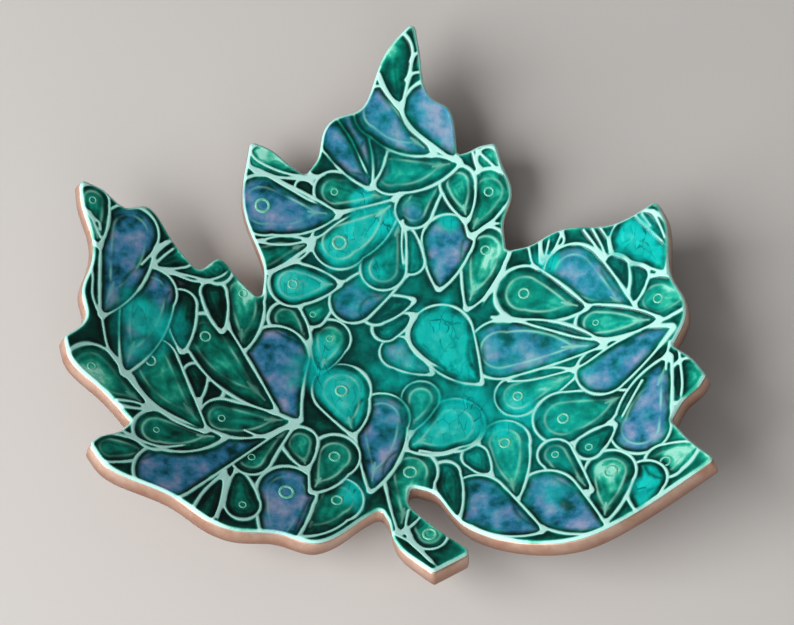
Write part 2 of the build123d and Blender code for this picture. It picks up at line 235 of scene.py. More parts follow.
# %% Drop tables
drop_tables = {
    "left_lobe": [
        ("green", -0.457, 0.180, -0.447, 0.105, 0.021, 0.00, 0.45, 0.006),
        ("violet", -0.400, 0.138, -0.436, -0.020, 0.039, 0.05, 0.25, 0.000),
        ("violet", -0.368, 0.035, -0.400, -0.122, 0.037, 0.03, 0.20, 0.000),
        ("green", -0.362, -0.092, -0.277, -0.212, 0.037, -0.06, 0.20, 0.009),
        ("green", -0.447, -0.120, -0.362, -0.180, 0.034, -0.04, 0.25, 0.007),
        ("green", -0.325, 0.112, -0.368, 0.085, 0.020, 0.00, 0.00, 0.000),
        ("green", -0.268, 0.092, -0.350, 0.080, 0.021, -0.10, 0.00, 0.000),
        ("deep", -0.321, 0.020, -0.316, -0.066, 0.021, 0.00, 0.00, 0.000),
        ("deep", -0.272, 0.048, -0.258, -0.020, 0.017, 0.00, 0.00, 0.000),
        ("green", -0.282, -0.034, -0.174, -0.163, 0.035, -0.05, 0.20, 0.009),
        ("green", -0.227, 0.052, -0.228, -0.056, 0.031, 0.05, 0.25, 0.007),
        ("violet", -0.174, -0.060, -0.136, -0.178, 0.048, -0.10, 0.00, 0.000),
        ("green", -0.348, -0.222, -0.250, -0.223, 0.031, -0.05, 0.90, 0.005),
        ("green", -0.253, -0.186, -0.147, -0.180, 0.030, -0.05, 0.45, 0.006),
        ("deep", -0.295, -0.107, -0.290, -0.156, 0.015, 0.00, 0.00, 0.000),
        ("deep", -0.270, -0.135, -0.282, -0.176, 0.015, 0.00, 0.00, 0.000),
        ("violet", -0.330, -0.300, -0.158, -0.191, 0.044, 0.07, 0.00, 0.000),
        ("green", -0.206, -0.256, -0.146, -0.190, 0.028, 0.08, 0.45, 0.006),
        ("green", -0.412, -0.268, -0.348, -0.264, 0.022, 0.00, 0.45, 0.000),
        ("deep", -0.270, -0.368, -0.246, -0.300, 0.014, 0.00, 0.00, 0.000),
        ("green", -0.216, -0.350, -0.224, -0.284, 0.023, 0.00, 0.00, 0.006),
        ("green", -0.134, -0.223, -0.124, -0.270, 0.024, 0.00, 0.45, 0.000),
        ("green", -0.081, -0.247, -0.114, -0.316, 0.035, 0.05, 0.90, 0.009),
        ("violet", -0.152, -0.320, -0.165, -0.452, 0.042, 0.00, 0.15, 0.012),
        ("green", -0.076, -0.332, -0.136, -0.402, 0.036, 0.05, 0.45, 0.009),
    ],
    "top_lobe": [
        ("green", 0.006, 0.482, 0.018, 0.398, 0.029, -0.04, 0.00, 0.000),
        ("violet", 0.066, 0.388, 0.104, 0.306, 0.040, 0.05, 0.00, 0.000),
        ("violet", -0.016, 0.384, 0.068, 0.314, 0.036, -0.05, 0.45, 0.000),
        ("violet", -0.074, 0.344, -0.030, 0.256, 0.036, 0.00, 0.00, 0.000),
        ("deep", -0.024, 0.318, -0.030, 0.260, 0.018, 0.00, 0.00, 0.000),
        ("green", 0.004, 0.282, 0.112, 0.296, 0.032, -0.05, 0.45, 0.000),
        ("green", 0.110, 0.260, 0.124, 0.196, 0.025, 0.00, 0.90, 0.000),
        ("green", 0.159, 0.242, 0.130, 0.168, 0.033, 0.00, 0.45, 0.008),
        ("green", 0.041, 0.216, 0.106, 0.290, 0.027, 0.10, 0.45, 0.000),
        ("violet", -0.199, 0.214, -0.082, 0.206, 0.045, -0.04, 0.45, 0.012),
        ("green", -0.198, 0.294, -0.126, 0.270, 0.021, 0.05, 0.00, 0.000),
        ("green", -0.086, 0.246, 0.012, 0.240, 0.029, 0.05, 0.45, 0.006),
        ("deep", -0.134, 0.250, -0.108, 0.228, 0.011, 0.00, 0.00, 0.000),
        ("green", -0.193, 0.124, -0.124, 0.152, 0.023, 0.05, 0.45, 0.000),
        ("green", 0.158, 0.300, 0.172, 0.262, 0.014, 0.00, 0.00, 0.000),
    ],
    "heart": [
        ("turquoise", -0.077, 0.156, 0.016, 0.234, 0.041, -0.06, 0.90, 0.012),
        ("deep", -0.008, 0.110, 0.022, 0.206, 0.033, 0.05, 0.45, 0.000),
        ("green", 0.036, 0.122, 0.030, 0.186, 0.018, 0.00, 0.00, 0.000),
        ("violet", 0.094, 0.160, 0.080, 0.072, 0.038, 0.00, 0.00, 0.000),
        ("turquoise", -0.150, 0.076, -0.078, 0.080, 0.034, 0.00, 0.45, 0.008),
        ("violet", -0.056, 0.048, 0.036, 0.112, 0.033, 0.05, 0.00, 0.000),
        ("green", -0.160, 0.012, -0.124, -0.030, 0.024, 0.00, 0.45, 0.000),
        ("green", -0.118, 0.022, -0.084, 0.066, 0.018, 0.00, 0.00, 0.005),
        ("green", -0.091, -0.022, -0.104, -0.084, 0.029, 0.00, 0.45, 0.006),
        ("deep", -0.020, 0.032, 0.038, 0.050, 0.021, 0.00, 0.00, 0.000),
        ("deep", -0.004, -0.002, 0.038, 0.022, 0.018, 0.00, 0.00, 0.000),
        ("turquoise", 0.082, -0.014, 0.142, -0.108, 0.047, -0.05, 0.00, 0.000),
        ("violet", 0.014, -0.046, 0.066, -0.086, 0.024, 0.00, 0.00, 0.000),
        ("turquoise", -0.072, -0.120, -0.054, -0.202, 0.042, 0.05, 0.45, 0.010),
        ("violet", -0.010, -0.172, -0.026, -0.312, 0.040, 0.04, 0.45, 0.000),
        ("green", 0.050, -0.134, 0.031, -0.198, 0.026, 0.00, 0.45, 0.000),
        ("turquoise", 0.102, -0.188, 0.028, -0.228, 0.043, 0.05, 0.45, 0.000),
        ("green", 0.034, -0.276, 0.018, -0.392, 0.038, 0.05, 0.45, 0.011),
        ("green", 0.062, -0.398, 0.034, -0.330, 0.024, 0.05, 0.45, 0.011),
        ("deep", 0.087, -0.282, 0.104, -0.366, 0.019, 0.00, 0.00, 0.000),
    ],
    "right_lobe": [
        ("violet", 0.174, -0.048, 0.328, -0.056, 0.047, 0.05, 0.90, 0.000),
        ("green", 0.212, 0.054, 0.306, 0.016, 0.042, -0.04, 0.90, 0.009),
        ("green", 0.320, -0.014, 0.412, -0.024, 0.027, 0.00, 0.90, 0.005),
        ("violet", 0.288, 0.086, 0.380, -0.006, 0.041, -0.04, 0.45, 0.000),
        ("deep", 0.352, 0.084, 0.366, 0.030, 0.017, 0.00, 0.00, 0.000),
        ("deep", 0.382, 0.060, 0.374, 0.010, 0.017, 0.00, 0.00, 0.000),
        ("green", 0.414, 0.014, 0.466, 0.006, 0.034, 0.00, 0.45, 0.008),
        ("turquoise", 0.390, 0.126, 0.420, 0.056, 0.042, 0.00, 0.00, 0.000),
        ("green", 0.258, 0.146, 0.242, 0.112, 0.014, 0.00, 0.00, 0.000),
        ("green", 0.153, 0.138, 0.124, 0.034, 0.035, 0.04, 0.90, 0.008),
        ("violet", 0.134, -0.336, 0.226, -0.402, 0.042, -0.05, 0.00, 0.000),
        ("deep", 0.132, -0.250, 0.152, -0.286, 0.017, 0.00, 0.00, 0.000),
        ("green", 0.177, -0.226, 0.190, -0.340, 0.035, 0.00, 0.45, 0.009),
        ("violet", 0.236, -0.340, 0.318, -0.408, 0.046, -0.05, 0.00, 0.000),
        ("deep", 0.252, -0.256, 0.300, -0.332, 0.023, -0.05, 0.45, 0.006),
        ("green", 0.302, -0.248, 0.340, -0.212, 0.018, 0.00, 0.00, 0.006),
        ("green", 0.331, -0.300, 0.316, -0.396, 0.034, 0.00, 0.90, 0.011),
        ("turquoise", 0.380, -0.322, 0.368, -0.384, 0.028, 0.00, 0.00, 0.000),
        ("green", 0.410, -0.294, 0.458, -0.272, 0.026, 0.00, 0.45, 0.009),
        ("violet", 0.378, -0.224, 0.426, -0.098, 0.041, 0.05, 0.45, 0.000),
        ("violet", 0.328, -0.106, 0.432, -0.044, 0.037, 0.04, 0.00, 0.000),
        ("green", 0.455, -0.140, 0.422, -0.184, 0.028, 0.00, 0.00, 0.000),
        ("green", 0.266, -0.188, 0.370, -0.154, 0.042, -0.04, 0.45, 0.009),
        ("green", 0.199, -0.138, 0.290, -0.104, 0.032, 0.04, 0.45, 0.008),
    ],
}

# %% [markdown]
# Between the drops the maker trailed single lines, which part the gaps into dark slivers. Each row holds one
# line's points, from its thick start to its thin end.

# %% Single lines, point by point
single_line_shares = [
    [(-0.344, 0.078), (-0.313, 0.067), (-0.298, 0.065), (-0.275, 0.072), (-0.256, 0.084), (-0.247, 0.096)],
    [(-0.437, -0.023), (-0.431, -0.059), (-0.424, -0.083), (-0.410, -0.104), (-0.398, -0.125),
     (-0.381, -0.148), (-0.342, -0.182), (-0.279, -0.213)],
    [(-0.459, 0.075), (-0.453, 0.045), (-0.452, 0.012), (-0.441, -0.022)],
    [(-0.398, -0.232), (-0.371, -0.245), (-0.342, -0.253), (-0.298, -0.243)],
    [(-0.243, -0.288), (-0.246, -0.326), (-0.250, -0.367), (-0.252, -0.388)],
    [(-0.467, 0.162), (-0.458, 0.151), (-0.447, 0.143), (-0.444, 0.126)],
    [(-0.461, 0.158), (-0.452, 0.135), (-0.442, 0.113)],
    [(-0.382, 0.082), (-0.362, 0.111), (-0.342, 0.135)],
    [(-0.361, 0.088), (-0.346, 0.107), (-0.332, 0.122)],
    [(-0.407, -0.175), (-0.381, -0.175), (-0.363, -0.18)],
    [(-0.014, 0.447), (-0.003, 0.421), (0.013, 0.396), (0.037, 0.359), (0.058, 0.338), (0.093, 0.308)],
    [(0.036, 0.468), (0.045, 0.480), (0.052, 0.484)],
    [(0.028, 0.438), (0.040, 0.448), (0.052, 0.450)],
    [(-0.223, 0.28), (-0.202, 0.275), (-0.179, 0.26), (-0.153, 0.245), (-0.129, 0.231), (-0.106, 0.221)],
    [(-0.214, 0.150), (-0.181, 0.146), (-0.152, 0.149), (-0.124, 0.158), (-0.105, 0.168), (-0.088, 0.184),
     (-0.053, 0.210)],
    [(-0.221, 0.308), (-0.211, 0.294), (-0.198, 0.286), (-0.164, 0.274), (-0.134, 0.271), (-0.101, 0.274)],
    [(-0.192, 0.094), (-0.155, 0.112), (-0.133, 0.128), (-0.121, 0.145), (-0.113, 0.164)],
    [(-0.082, 0.371), (-0.062, 0.341), (-0.046, 0.307), (-0.031, 0.273)],
    [(0.133, 0.316), (0.138, 0.295), (0.145, 0.272)],
    [(0.141, 0.315), (0.161, 0.293), (0.18, 0.271)],
    [(0.023, 0.197), (0.021, 0.152), (0.024, 0.11)],
    [(0.186, -0.109), (0.218, -0.11), (0.256, -0.103), (0.294, -0.093), (0.32, -0.076), (0.357, -0.053),
     (0.386, -0.042)],
    [(0.162, 0.014), (0.197, 0.005), (0.229, -0.009), (0.258, -0.022), (0.296, -0.039), (0.323, -0.046),
     (0.351, -0.051)],
    [(0.356, 0.103), (0.378, 0.088), (0.403, 0.072), (0.426, 0.058)],
    [(0.306, 0.157), (0.324, 0.125), (0.337, 0.098)],
    [(0.319, 0.158), (0.332, 0.127), (0.34, 0.101)],
    [(0.331, 0.158), (0.343, 0.133), (0.35, 0.106)],
    [(0.383, 0.172), (0.406, 0.14), (0.428, 0.109)],
    [(0.395, 0.169), (0.409, 0.143)],
    [(0.411, 0.171), (0.421, 0.144), (0.429, 0.116)],
    [(0.238, 0.144), (0.244, 0.116), (0.254, 0.153)],
    [(0.274, 0.161), (0.266, 0.141), (0.256, 0.118)],
    [(0.22, 0.139), (0.228, 0.104), (0.237, 0.092)],
    [(0.191, 0.131), (0.175, 0.092), (0.159, 0.064), (0.147, 0.037)],
    [(0.134, 0.164), (0.145, 0.175), (0.160, 0.184), (0.179, 0.184)],
    [(0.441, -0.091), (0.442, -0.121), (0.442, -0.157), (0.438, -0.183)],
    [(0.031, -0.351), (0.027, -0.375), (0.028, -0.395), (0.036, -0.414), (0.071, -0.461)],
    [(0.006, -0.394), (0.033, -0.414), (0.072, -0.463)],
    [(0.048, -0.235), (0.086, -0.24), (0.109, -0.231), (0.125, -0.226), (0.14, -0.209), (0.146, -0.192)],
    [(0.038, 0.021), (0.031, -0.005), (0.034, -0.029), (0.045, -0.045), (0.06, -0.062), (0.085, -0.08)],
    [(0.429, -0.071), (0.424, -0.089), (0.42, -0.126)],
    [(0.385, -0.134), (0.369, -0.165), (0.35, -0.204)],
    [(-0.218, -0.206), (-0.192, -0.215), (-0.158, -0.193)],
]

# %% [markdown]
# Hand work is uneven, and that is what makes it look real. Each row below is a soft spot: its place, its
# radius, and its strength. In the first table the slip is laid thicker, and the strength is how much wider
# its lines get. In the second the glaze is thinner and so paler. In the third the slip is worn or drowned,
# so that the glaze covers it.

# %% Spots of thick slip, thin glaze and worn slip
thick_spot_shares = [
    (0.170, 0.050, 0.026, 0.80),
    (0.178, 0.006, 0.012, 1.10),
    (0.405, 0.010, 0.016, 0.60),
    (0.418, -0.050, 0.022, 0.50),
    (-0.470, -0.070, 0.030, 0.50),
    (-0.395, -0.215, 0.030, 0.60),
    (-0.120, -0.205, 0.022, 0.50),
    (0.035, -0.260, 0.022, 0.60),
    (0.120, 0.292, 0.024, 0.60),
    (0.425, -0.190, 0.020, 0.70),
    (0.182, 0.150, 0.016, 0.60),
]
thin_glaze_shares = [
    (0.445, -0.265, 0.040, 0.50),
    (0.330, -0.300, 0.025, 0.25),
    (-0.205, 0.300, 0.035, 0.45),
    (0.160, 0.300, 0.025, 0.30),
    (0.440, 0.080, 0.030, 0.25),
    (-0.150, 0.075, 0.035, 0.30),
    (-0.225, 0.050, 0.030, 0.25),
    (0.150, -0.395, 0.030, 0.30),
    (0.270, -0.105, 0.040, 0.25),
    (0.170, 0.110, 0.030, 0.15),
    (-0.445, -0.150, 0.030, 0.20),
]
worn_spot_shares = [
    (-0.065, 0.350, 0.050, 0.60),
    (0.000, 0.345, 0.040, 0.45),
    (-0.040, 0.150, 0.040, 0.45),
    (0.060, -0.150, 0.050, 0.50),
    (0.140, -0.180, 0.040, 0.50),
    (-0.375, -0.030, 0.040, 0.50),
    (-0.100, -0.080, 0.045, 0.40),
    (0.380, 0.125, 0.040, 0.35),
]

# %% [markdown]
# Bits of coloured glass, and a second, violet glaze, also spread over the lines, whatever drop they lie in.
# The small patches are strong and show as spots of their own. The last five are wide and weak, and only
# tint the middle of the leaf and two of its lobes.

# %% Patches of glass and of violet glaze
patch_shares = [
    ("turquoise", -0.385, -0.010, 0.036, 0.85),
    ("turquoise", -0.345, -0.030, 0.036, 0.80),
    ("turquoise", -0.380, -0.075, 0.030, 0.60),
    ("violet", -0.355, 0.043, 0.026, 0.95),
    ("turquoise", -0.109, -0.087, 0.034, 0.95),
    ("turquoise", -0.103, -0.045, 0.022, 0.95),
    ("turquoise", -0.058, 0.161, 0.031, 0.95),
    ("turquoise", -0.010, 0.195, 0.034, 0.95),
    ("turquoise", -0.026, 0.103, 0.025, 0.95),
    ("turquoise", 0.081, -0.006, 0.044, 0.95),
    ("turquoise", 0.125, -0.179, 0.037, 0.95),
    ("turquoise", 0.178, -0.199, 0.020, 0.95),
    ("turquoise", 0.391, 0.124, 0.034, 0.95),
    ("turquoise", 0.372, -0.338, 0.016, 0.95),
    ("turquoise", -0.037, 0.236, 0.019, 0.95),
    ("turquoise", -0.054, -0.317, 0.023, 0.95),
    ("turquoise", 0.249, -0.326, 0.025, 0.45),
    ("turquoise", 0.097, 0.191, 0.016, 0.95),
    ("turquoise", 0.249, 0.107, 0.022, 0.95),
    ("violet", -0.017, 0.285, 0.014, 0.95),
    ("violet", -0.048, 0.340, 0.034, 0.95),
    ("violet", 0.037, 0.206, 0.016, 0.95),
    ("violet", 0.116, -0.276, 0.009, 0.95),
    ("turquoise", 0.125, -0.150, 0.045, 0.95),
    ("turquoise", 0.200, -0.165, 0.038, 0.85),
    ("turquoise", 0.050, -0.195, 0.030, 0.70),
    ("turquoise", -0.030, 0.205, 0.030, 0.85),
    ("turquoise", -0.078, 0.128, 0.025, 0.70),
    ("turquoise", 0.010, -0.090, 0.040, 0.60),
    ("turquoise", 0.060, -0.060, 0.120, 0.42),
    ("turquoise", -0.020, 0.120, 0.100, 0.40),
    ("turquoise", 0.200, -0.180, 0.130, 0.38),
    ("turquoise", 0.330, 0.040, 0.120, 0.22),
    ("turquoise", 0.030, 0.300, 0.100, 0.25),
]

# %% [markdown]
# ## The grid
#
# A regular grid of triangles is the simplest fine mesh: numpy handles it whole, with no search for
# neighbours. Rows are offset by half a step, so that all triangles have equal sides. Points outside the
# outline are left out, and the outermost points move onto it.

# %% Grid of points over the leaf
margin = 2 * mesh_step
low = outline.min(0) - margin
columns = math.ceil((outline[:, 0].max() + margin - low[0]) / mesh_step) + 1
row_step = mesh_step * math.sqrt(3) / 2
rows = math.ceil((outline[:, 1].max() + margin - low[1]) / row_step) + 1
column_number, row_number = np.meshgrid(np.arange(columns), np.arange(rows))
grid_x = low[0] + (column_number + (row_number % 2) / 2) * mesh_step
grid_y = low[1] + row_number * row_step
print("Grid:", columns, "columns and", rows, "rows")

# %% [markdown]
# Almost everything below is a distance to some line. Only the part of the grid near the line is worked on,
# which keeps each step quick.

# %% Distance to a line
def window(points, reach):
    """The part of the grid within reach of these points, as a pair of slices."""
    (x0, y0), (x1, y1) = points.min(0) - reach, points.max(0) + reach
    first_column = max(0, int((x0 - low[0]) / mesh_step) - 1)
    first_row = max(0, int((y0 - low[1]) / row_step))
    last_row, last_column = int((y1 - low[1]) / row_step) + 2, int((x1 - low[0]) / mesh_step) + 2
    return np.s_[first_row:last_row, first_column:last_column]


def distance_to(line, part, closed=True):
    """Distance from each grid point of a window to a line. With it comes, for a closed line, a mask of the
    points inside, and for an open one, how far along it the nearest place lies, from 0 to 1."""
    x, y = grid_x[part], grid_y[part]
    nearest = np.full(x.shape, np.inf)
    inside, along = np.zeros(x.shape, bool), np.zeros(x.shape)
    ends = np.roll(line, -1, axis=0) if closed else line[1:]
    for number, ((ax, ay), (bx, by)) in enumerate(zip(line, ends)):
        dx, dy = bx - ax, by - ay
        share = np.clip(((x - ax) * dx + (y - ay) * dy) / (dx * dx + dy * dy + 1e-18), 0, 1)
        away = (x - ax - share * dx) ** 2 + (y - ay - share * dy) ** 2
        if not closed:
            along = np.where(away < nearest, (number + share) / len(ends), along)
        elif dy:
            inside ^= ((ay > y) != (by > y)) & (x < ax + (y - ay) * dx / dy)
        np.minimum(nearest, away, out=nearest)
    return np.sqrt(nearest), inside if closed else along


# %% [markdown]
# The outline is long, so its distance is found piece by piece, each in a small window of its own. Whether a
# point is inside follows row by row, from how often the row has crossed the outline before it gets there.

# %% Inside the leaf, and how far from its edge
edge_reach = 1.6 * MM


def edge_distance(reach):
    """Distance of grid points near the outline to it, and the nearest point on it."""
    distance = np.full(grid_x.shape, reach)
    nearest_x, nearest_y = grid_x.copy(), grid_y.copy()
    for start, end in zip(outline, np.roll(outline, -1, axis=0)):
        part = window(np.array([start, end]), reach)
        x, y = grid_x[part], grid_y[part]
        way = end - start
        share = np.clip(((x - start[0]) * way[0] + (y - start[1]) * way[1]) / (way @ way + 1e-18), 0, 1)
        foot_x, foot_y = start[0] + share * way[0], start[1] + share * way[1]
        gap = np.hypot(x - foot_x, y - foot_y)
        closer = gap < distance[part]
        distance[part] = np.where(closer, gap, distance[part])
        nearest_x[part] = np.where(closer, foot_x, nearest_x[part])
        nearest_y[part] = np.where(closer, foot_y, nearest_y[part])
    return distance, nearest_x, nearest_y


def inside_outline():
    """Mask of the grid points inside the outline."""
    mask = np.zeros(grid_x.shape, bool)
    ends = np.roll(outline, -1, axis=0)
    for number in range(rows):
        y = grid_y[number, 0]
        crossed = (outline[:, 1] > y) != (ends[:, 1] > y)
        a, b = outline[crossed], ends[crossed]
        places = np.sort(a[:, 0] + (y - a[:, 1]) * (b[:, 0] - a[:, 0]) / (b[:, 1] - a[:, 1]))
        mask[number] = np.searchsorted(places, grid_x[number]) % 2 == 1
    return mask


in_leaf = inside_outline()
to_edge, edge_x, edge_y = edge_distance(edge_reach)
print("Grid points inside the leaf:", int(in_leaf.sum()))

# %% [markdown]
# ## Lines of slip and pools of glaze
#
# The drops are drawn one by one into fields, which are arrays as large as the grid. The first row holds
# shares from 0 to 1: how much slip lies at a point, how crowded the lines are there, how strong the finer
# line is, how much that line thins the glaze, and how far inside its drop the point is. Then come two
# distances, to the nearest line and to the nearest drop so far, and the numbers of the pool and of the lobe
# at each point.

# %% Empty fields
field_reach = 6 * MM
slip, web, fine_line, thin_spot, bulb_light = np.zeros((5, *grid_x.shape))
to_line, clear = np.full((2, *grid_x.shape), field_reach)
pool = np.full(grid_x.shape, -1)
lobe_distance = np.full(grid_x.shape, np.inf)
lobe_number = np.zeros(grid_x.shape, int)
lobes = list(drop_tables)
print("Parts of the leaf:", lobes)

# %% [markdown]
# Nothing here is quite even, so a smooth random field is needed often. It is a sum of waves that run in
# random directions, which is quick on a grid and has no edges. The seeds are fixed, so every run gives the
# same dish.

# %% Unevenness
wave_count = 9
wave_sum = 3.5


def wander(x, y, size, seed):
    """A smooth random field from about -1 to 1, whose lumps have the given size."""
    random = np.random.default_rng(seed)
    total = np.zeros(np.shape(x))
    for _ in range(wave_count):
        angle, phase = random.uniform(0, math.tau, 2)
        wave = math.tau / size * random.uniform(0.6, 1.4)
        total += np.sin(wave * (x * math.cos(angle) + y * math.sin(angle)) + phase)
    return total / wave_sum


def spot_at(x_share, y_share, radius_share, strength):
    """A soft, ragged spot: the part of the grid round it, and how much of it lies at each point there."""
    centre = np.array([x_share, y_share]) * leaf_size
    radius = radius_share * leaf_width
    part = window(centre[None], 1.9 * radius)
    away = np.hypot(grid_x[part] - centre[0], grid_y[part] - centre[1]) / radius
    ragged = away * (1 + 0.22 * wander(grid_x[part], grid_y[part], 5 * MM, 4))
    spot = np.clip((1.6 - ragged) / 1.3, 0, 1)
    return part, strength * spot * spot * (3 - 2 * spot)


# A trailed line is up to a quarter wider or narrower over a hand's sweep, and a tenth over a tremble.
sweep_size, tremble_size = 9 * MM, 2.2 * MM
hand_width = 1 + 0.26 * wander(grid_x, grid_y, sweep_size, 1) + 0.10 * wander(grid_x, grid_y, tremble_size, 2)
for shares in thick_spot_shares:
    part, spot = spot_at(*shares)
    hand_width[part] *= 1 + spot
print("Line widths in mm:", (line_width / MM * np.percentile(hand_width[in_leaf], [1, 50, 99])).round(2))

# %% [markdown]
# Each line lays a bell-shaped bead into the slip field. Beads that overlap pile up without passing full slip.
# A broader bell goes into the web field, which counts how many lines crowd together.

# %% Laying a line of slip
least_spread = 0.225 * MM
web_reach = 0.55 * MM


def lay_slip(part, gap, width, shown=1.0):
    """Adds a line of slip: full at its middle, gone at its sides, and weaker where less is shown."""
    spread = np.maximum(0.35 * width * hand_width[part], least_spread)
    bead = np.exp(-((gap / spread) ** 2)) * shown
    slip[part] = 1 - (1 - slip[part]) * (1 - bead)
    web[part] += np.exp(-((gap / web_reach) ** 2)) * shown
    to_line[part] = np.minimum(to_line[part], gap + (1 - shown) * line_width)


# %% [markdown]
# A drop's round end is most of a circle. Each side of its tail leaves the circle straight on and bulges a
# little on its way to the tip. The bulge and the bend must never be equal, because one side would then be
# straight, and no circle goes through three points in line.

# %% A drop's outline
drop_swell_share = 0.064
bulb_points, side_points = 40, 22


def drop_line(bulb, tip, radius, bend_share):
    """A teardrop's outline: most of a circle, then an arc down each side of the tail to the tip."""
    length = math.dist(bulb, tip)
    along = (tip - bulb) / length
    across = np.array([-along[1], along[0]])
    spread = math.acos(min(radius / length, 1))
    touch = bulb + along * radius * math.cos(spread)
    left, right = touch + across * radius * math.sin(spread), touch - across * radius * math.sin(spread)
    bend, swell = across * bend_share * length, across * drop_swell_share * length
    return np.vstack([
        arc_through(left, bulb - along * radius, right, bulb_points)[:-1],
        arc_through(right, (right + tip) / 2 + bend - swell, tip, side_points)[:-1],
        arc_through(tip, (left + tip) / 2 + bend + swell, left, side_points)[:-1],
    ])


# %% [markdown]
# Many drops hold a finer line, drawn with less slip. It is a smaller drop inside the first, thick where its
# sides meet, with a short tail beyond. The glaze within it is thinner, so it glows.

# %% The finer line inside a drop
fine_width = 0.21 * MM
glow_reach = 0.8 * MM
fine_margin = 0.5 * MM
fine_wander = 5 * MM


def trail_finer_line(part, here, room, drop, strength_share):
    """Adds a drop's finer line to the fields, at the points that are in the drop and clear of its edge."""
    bulb, tip, radius, bend_share = drop
    gap, inside = distance_to(drop_line(bulb, bulb + (tip - bulb) * 0.72, radius * 0.66, bend_share), part)
    tail = np.array([bulb + (tip - bulb) * 0.60, bulb + (tip - bulb) * 0.86])
    tail_gap, along = distance_to(tail, part, closed=False)
    wedge_width = (0.16 + 0.34 * np.exp(-(((along - 0.42) / 0.22) ** 2))) * MM
    strength = np.clip(strength_share + 0.40 * wander(grid_x[part], grid_y[part], fine_wander, 6), 0.1, 1)
    wedge = np.exp(-((tail_gap / wedge_width) ** 2)) * (along > 0) * min(1, strength_share + 0.2)
    off_edge = np.clip(room / fine_margin, 0, 1)
    fine = np.maximum(np.exp(-((gap / fine_width) ** 2)) * strength, wedge) * off_edge
    fine_line[part] = np.maximum(fine_line[part], fine * here)
    glow = np.exp(-gap / glow_reach) * inside * off_edge * here
    thin_spot[part] = np.maximum(thin_spot[part], glow * strength)


# %% [markdown]
# Now every drop goes into the fields, in the order of its list. The field called clear holds the distance to
# the drops laid so far, so that a later drop and its line fade out where they would pass in front.

# %% Drops into the fields
eyelet_share_of_row = 0.85
tip_web_reach = 0.95 * MM
pools = []
eyelets = []
for lobe, table in drop_tables.items():
    for glaze, bulb_x, bulb_y, tip_x, tip_y, radius_share, bend_share, inner_share, eyelet_share in table:
        bulb, tip = np.array([bulb_x, bulb_y]) * leaf_size, np.array([tip_x, tip_y]) * leaf_size
        radius = radius_share * leaf_width
        line = drop_line(bulb, tip, radius, bend_share)
        part = window(line, field_reach)
        gap, inside = distance_to(line, part)
        signed = np.where(inside, -gap, gap)
        here = inside & (clear[part] > line_width)
        pool[part] = np.where(here, len(pools), pool[part])
        shown = np.clip((clear[part] - 0.5 * line_width) / (0.7 * line_width), 0, 1)
        lay_slip(part, np.abs(signed - line_width / 2), line_width, shown)
        from_tip = np.hypot(grid_x[part] - tip[0], grid_y[part] - tip[1])
        web[part] += np.exp(-((from_tip / tip_web_reach) ** 2)) * shown
        closer = signed < lobe_distance[part]
        lobe_distance[part] = np.where(closer, signed, lobe_distance[part])
        lobe_number[part] = np.where(closer, lobes.index(lobe), lobe_number[part])
        room = np.minimum(-signed, clear[part] - line_width)
        bulb_light[part] = np.where(here, np.clip(room / radius, 0, 1), bulb_light[part])
        if inner_share:
            trail_finer_line(part, here, room, (bulb, tip, radius, bend_share), inner_share)
        if eyelet_share:
            eyelets.append((bulb, eyelet_share_of_row * eyelet_share * leaf_width))
        clear[part] = np.minimum(clear[part], signed)
        pools.append((glaze, lobe))
print("Pools:", len(pools), " eyelets:", len(eyelets))

# %% [markdown]
# The single lines thin out along their way and fade at their end. After them, the crowded places fill with
# slip, and the worn spots lose theirs.

# %% Single lines, webs and worn spots
curve_step = 0.4 * MM
for shares in single_line_shares:
    points = np.array(shares) * leaf_size
    smooth = curve_through(points, unit(points[1] - points[0]), unit(points[-1] - points[-2]), curve_step)
    part = window(smooth, field_reach)
    gap, along = distance_to(smooth, part, closed=False)
    lay_slip(part, gap, (0.82 - 0.34 * along) * line_width, np.clip((1 - along) / 0.12, 0.3, 1))
web = np.clip((web - 1.15) / 0.42, 0, 1)
slip = 1 - (1 - slip) * (1 - 0.85 * web)
for shares in worn_spot_shares:
    part, spot = spot_at(*shares)
    slip[part] *= 1 - spot
print("Single lines:", len(single_line_shares), " share of face under webs:", round(web[in_leaf].mean(), 3))

# %% [markdown]
# The heights follow from the fields. Full slip reaches the ball of the CAD part's face. Between lines the
# glaze lies lower, and a little higher again in the middle of a wide drop, where the clay is domed. The rim
# rolls over towards the wall, with a fine bead of slip along it that is thin here and there.

# %% Heights
bead_start, bead_width, bead_wander = 0.12 * MM, 0.30 * MM, 10 * MM
ripple_height, ripple_size = 0.012 * MM, 3 * MM
rim_bead = np.exp(-(np.clip(to_edge - bead_start, 0, None) / bead_width) ** 2)
rim_bead *= np.clip(0.82 + 0.25 * wander(grid_x, grid_y, bead_wander, 8), 0.35, 1)
slip = 1 - (1 - slip) * (1 - rim_bead)
dome = bulb_light**1.5
sink = glaze_sink * (1 - slip**0.65) * (1 - 0.45 * dome) * (1 - 0.40 * fine_line**0.65)
sink = np.maximum(sink + ripple_height * wander(grid_x, grid_y, ripple_size, 3) * (1 - slip), 0)
inward = np.where(in_leaf, to_edge, -to_edge)
roll_share = np.clip(1 - inward / rim_roll, 0, 1.7)
sink = sink * np.clip(1 - roll_share, 0, 1) + rim_roll * roll_share**2
print("Glaze below full slip in mm, middle and most:", (np.percentile(sink[in_leaf], [50, 99]) / MM).round(3))
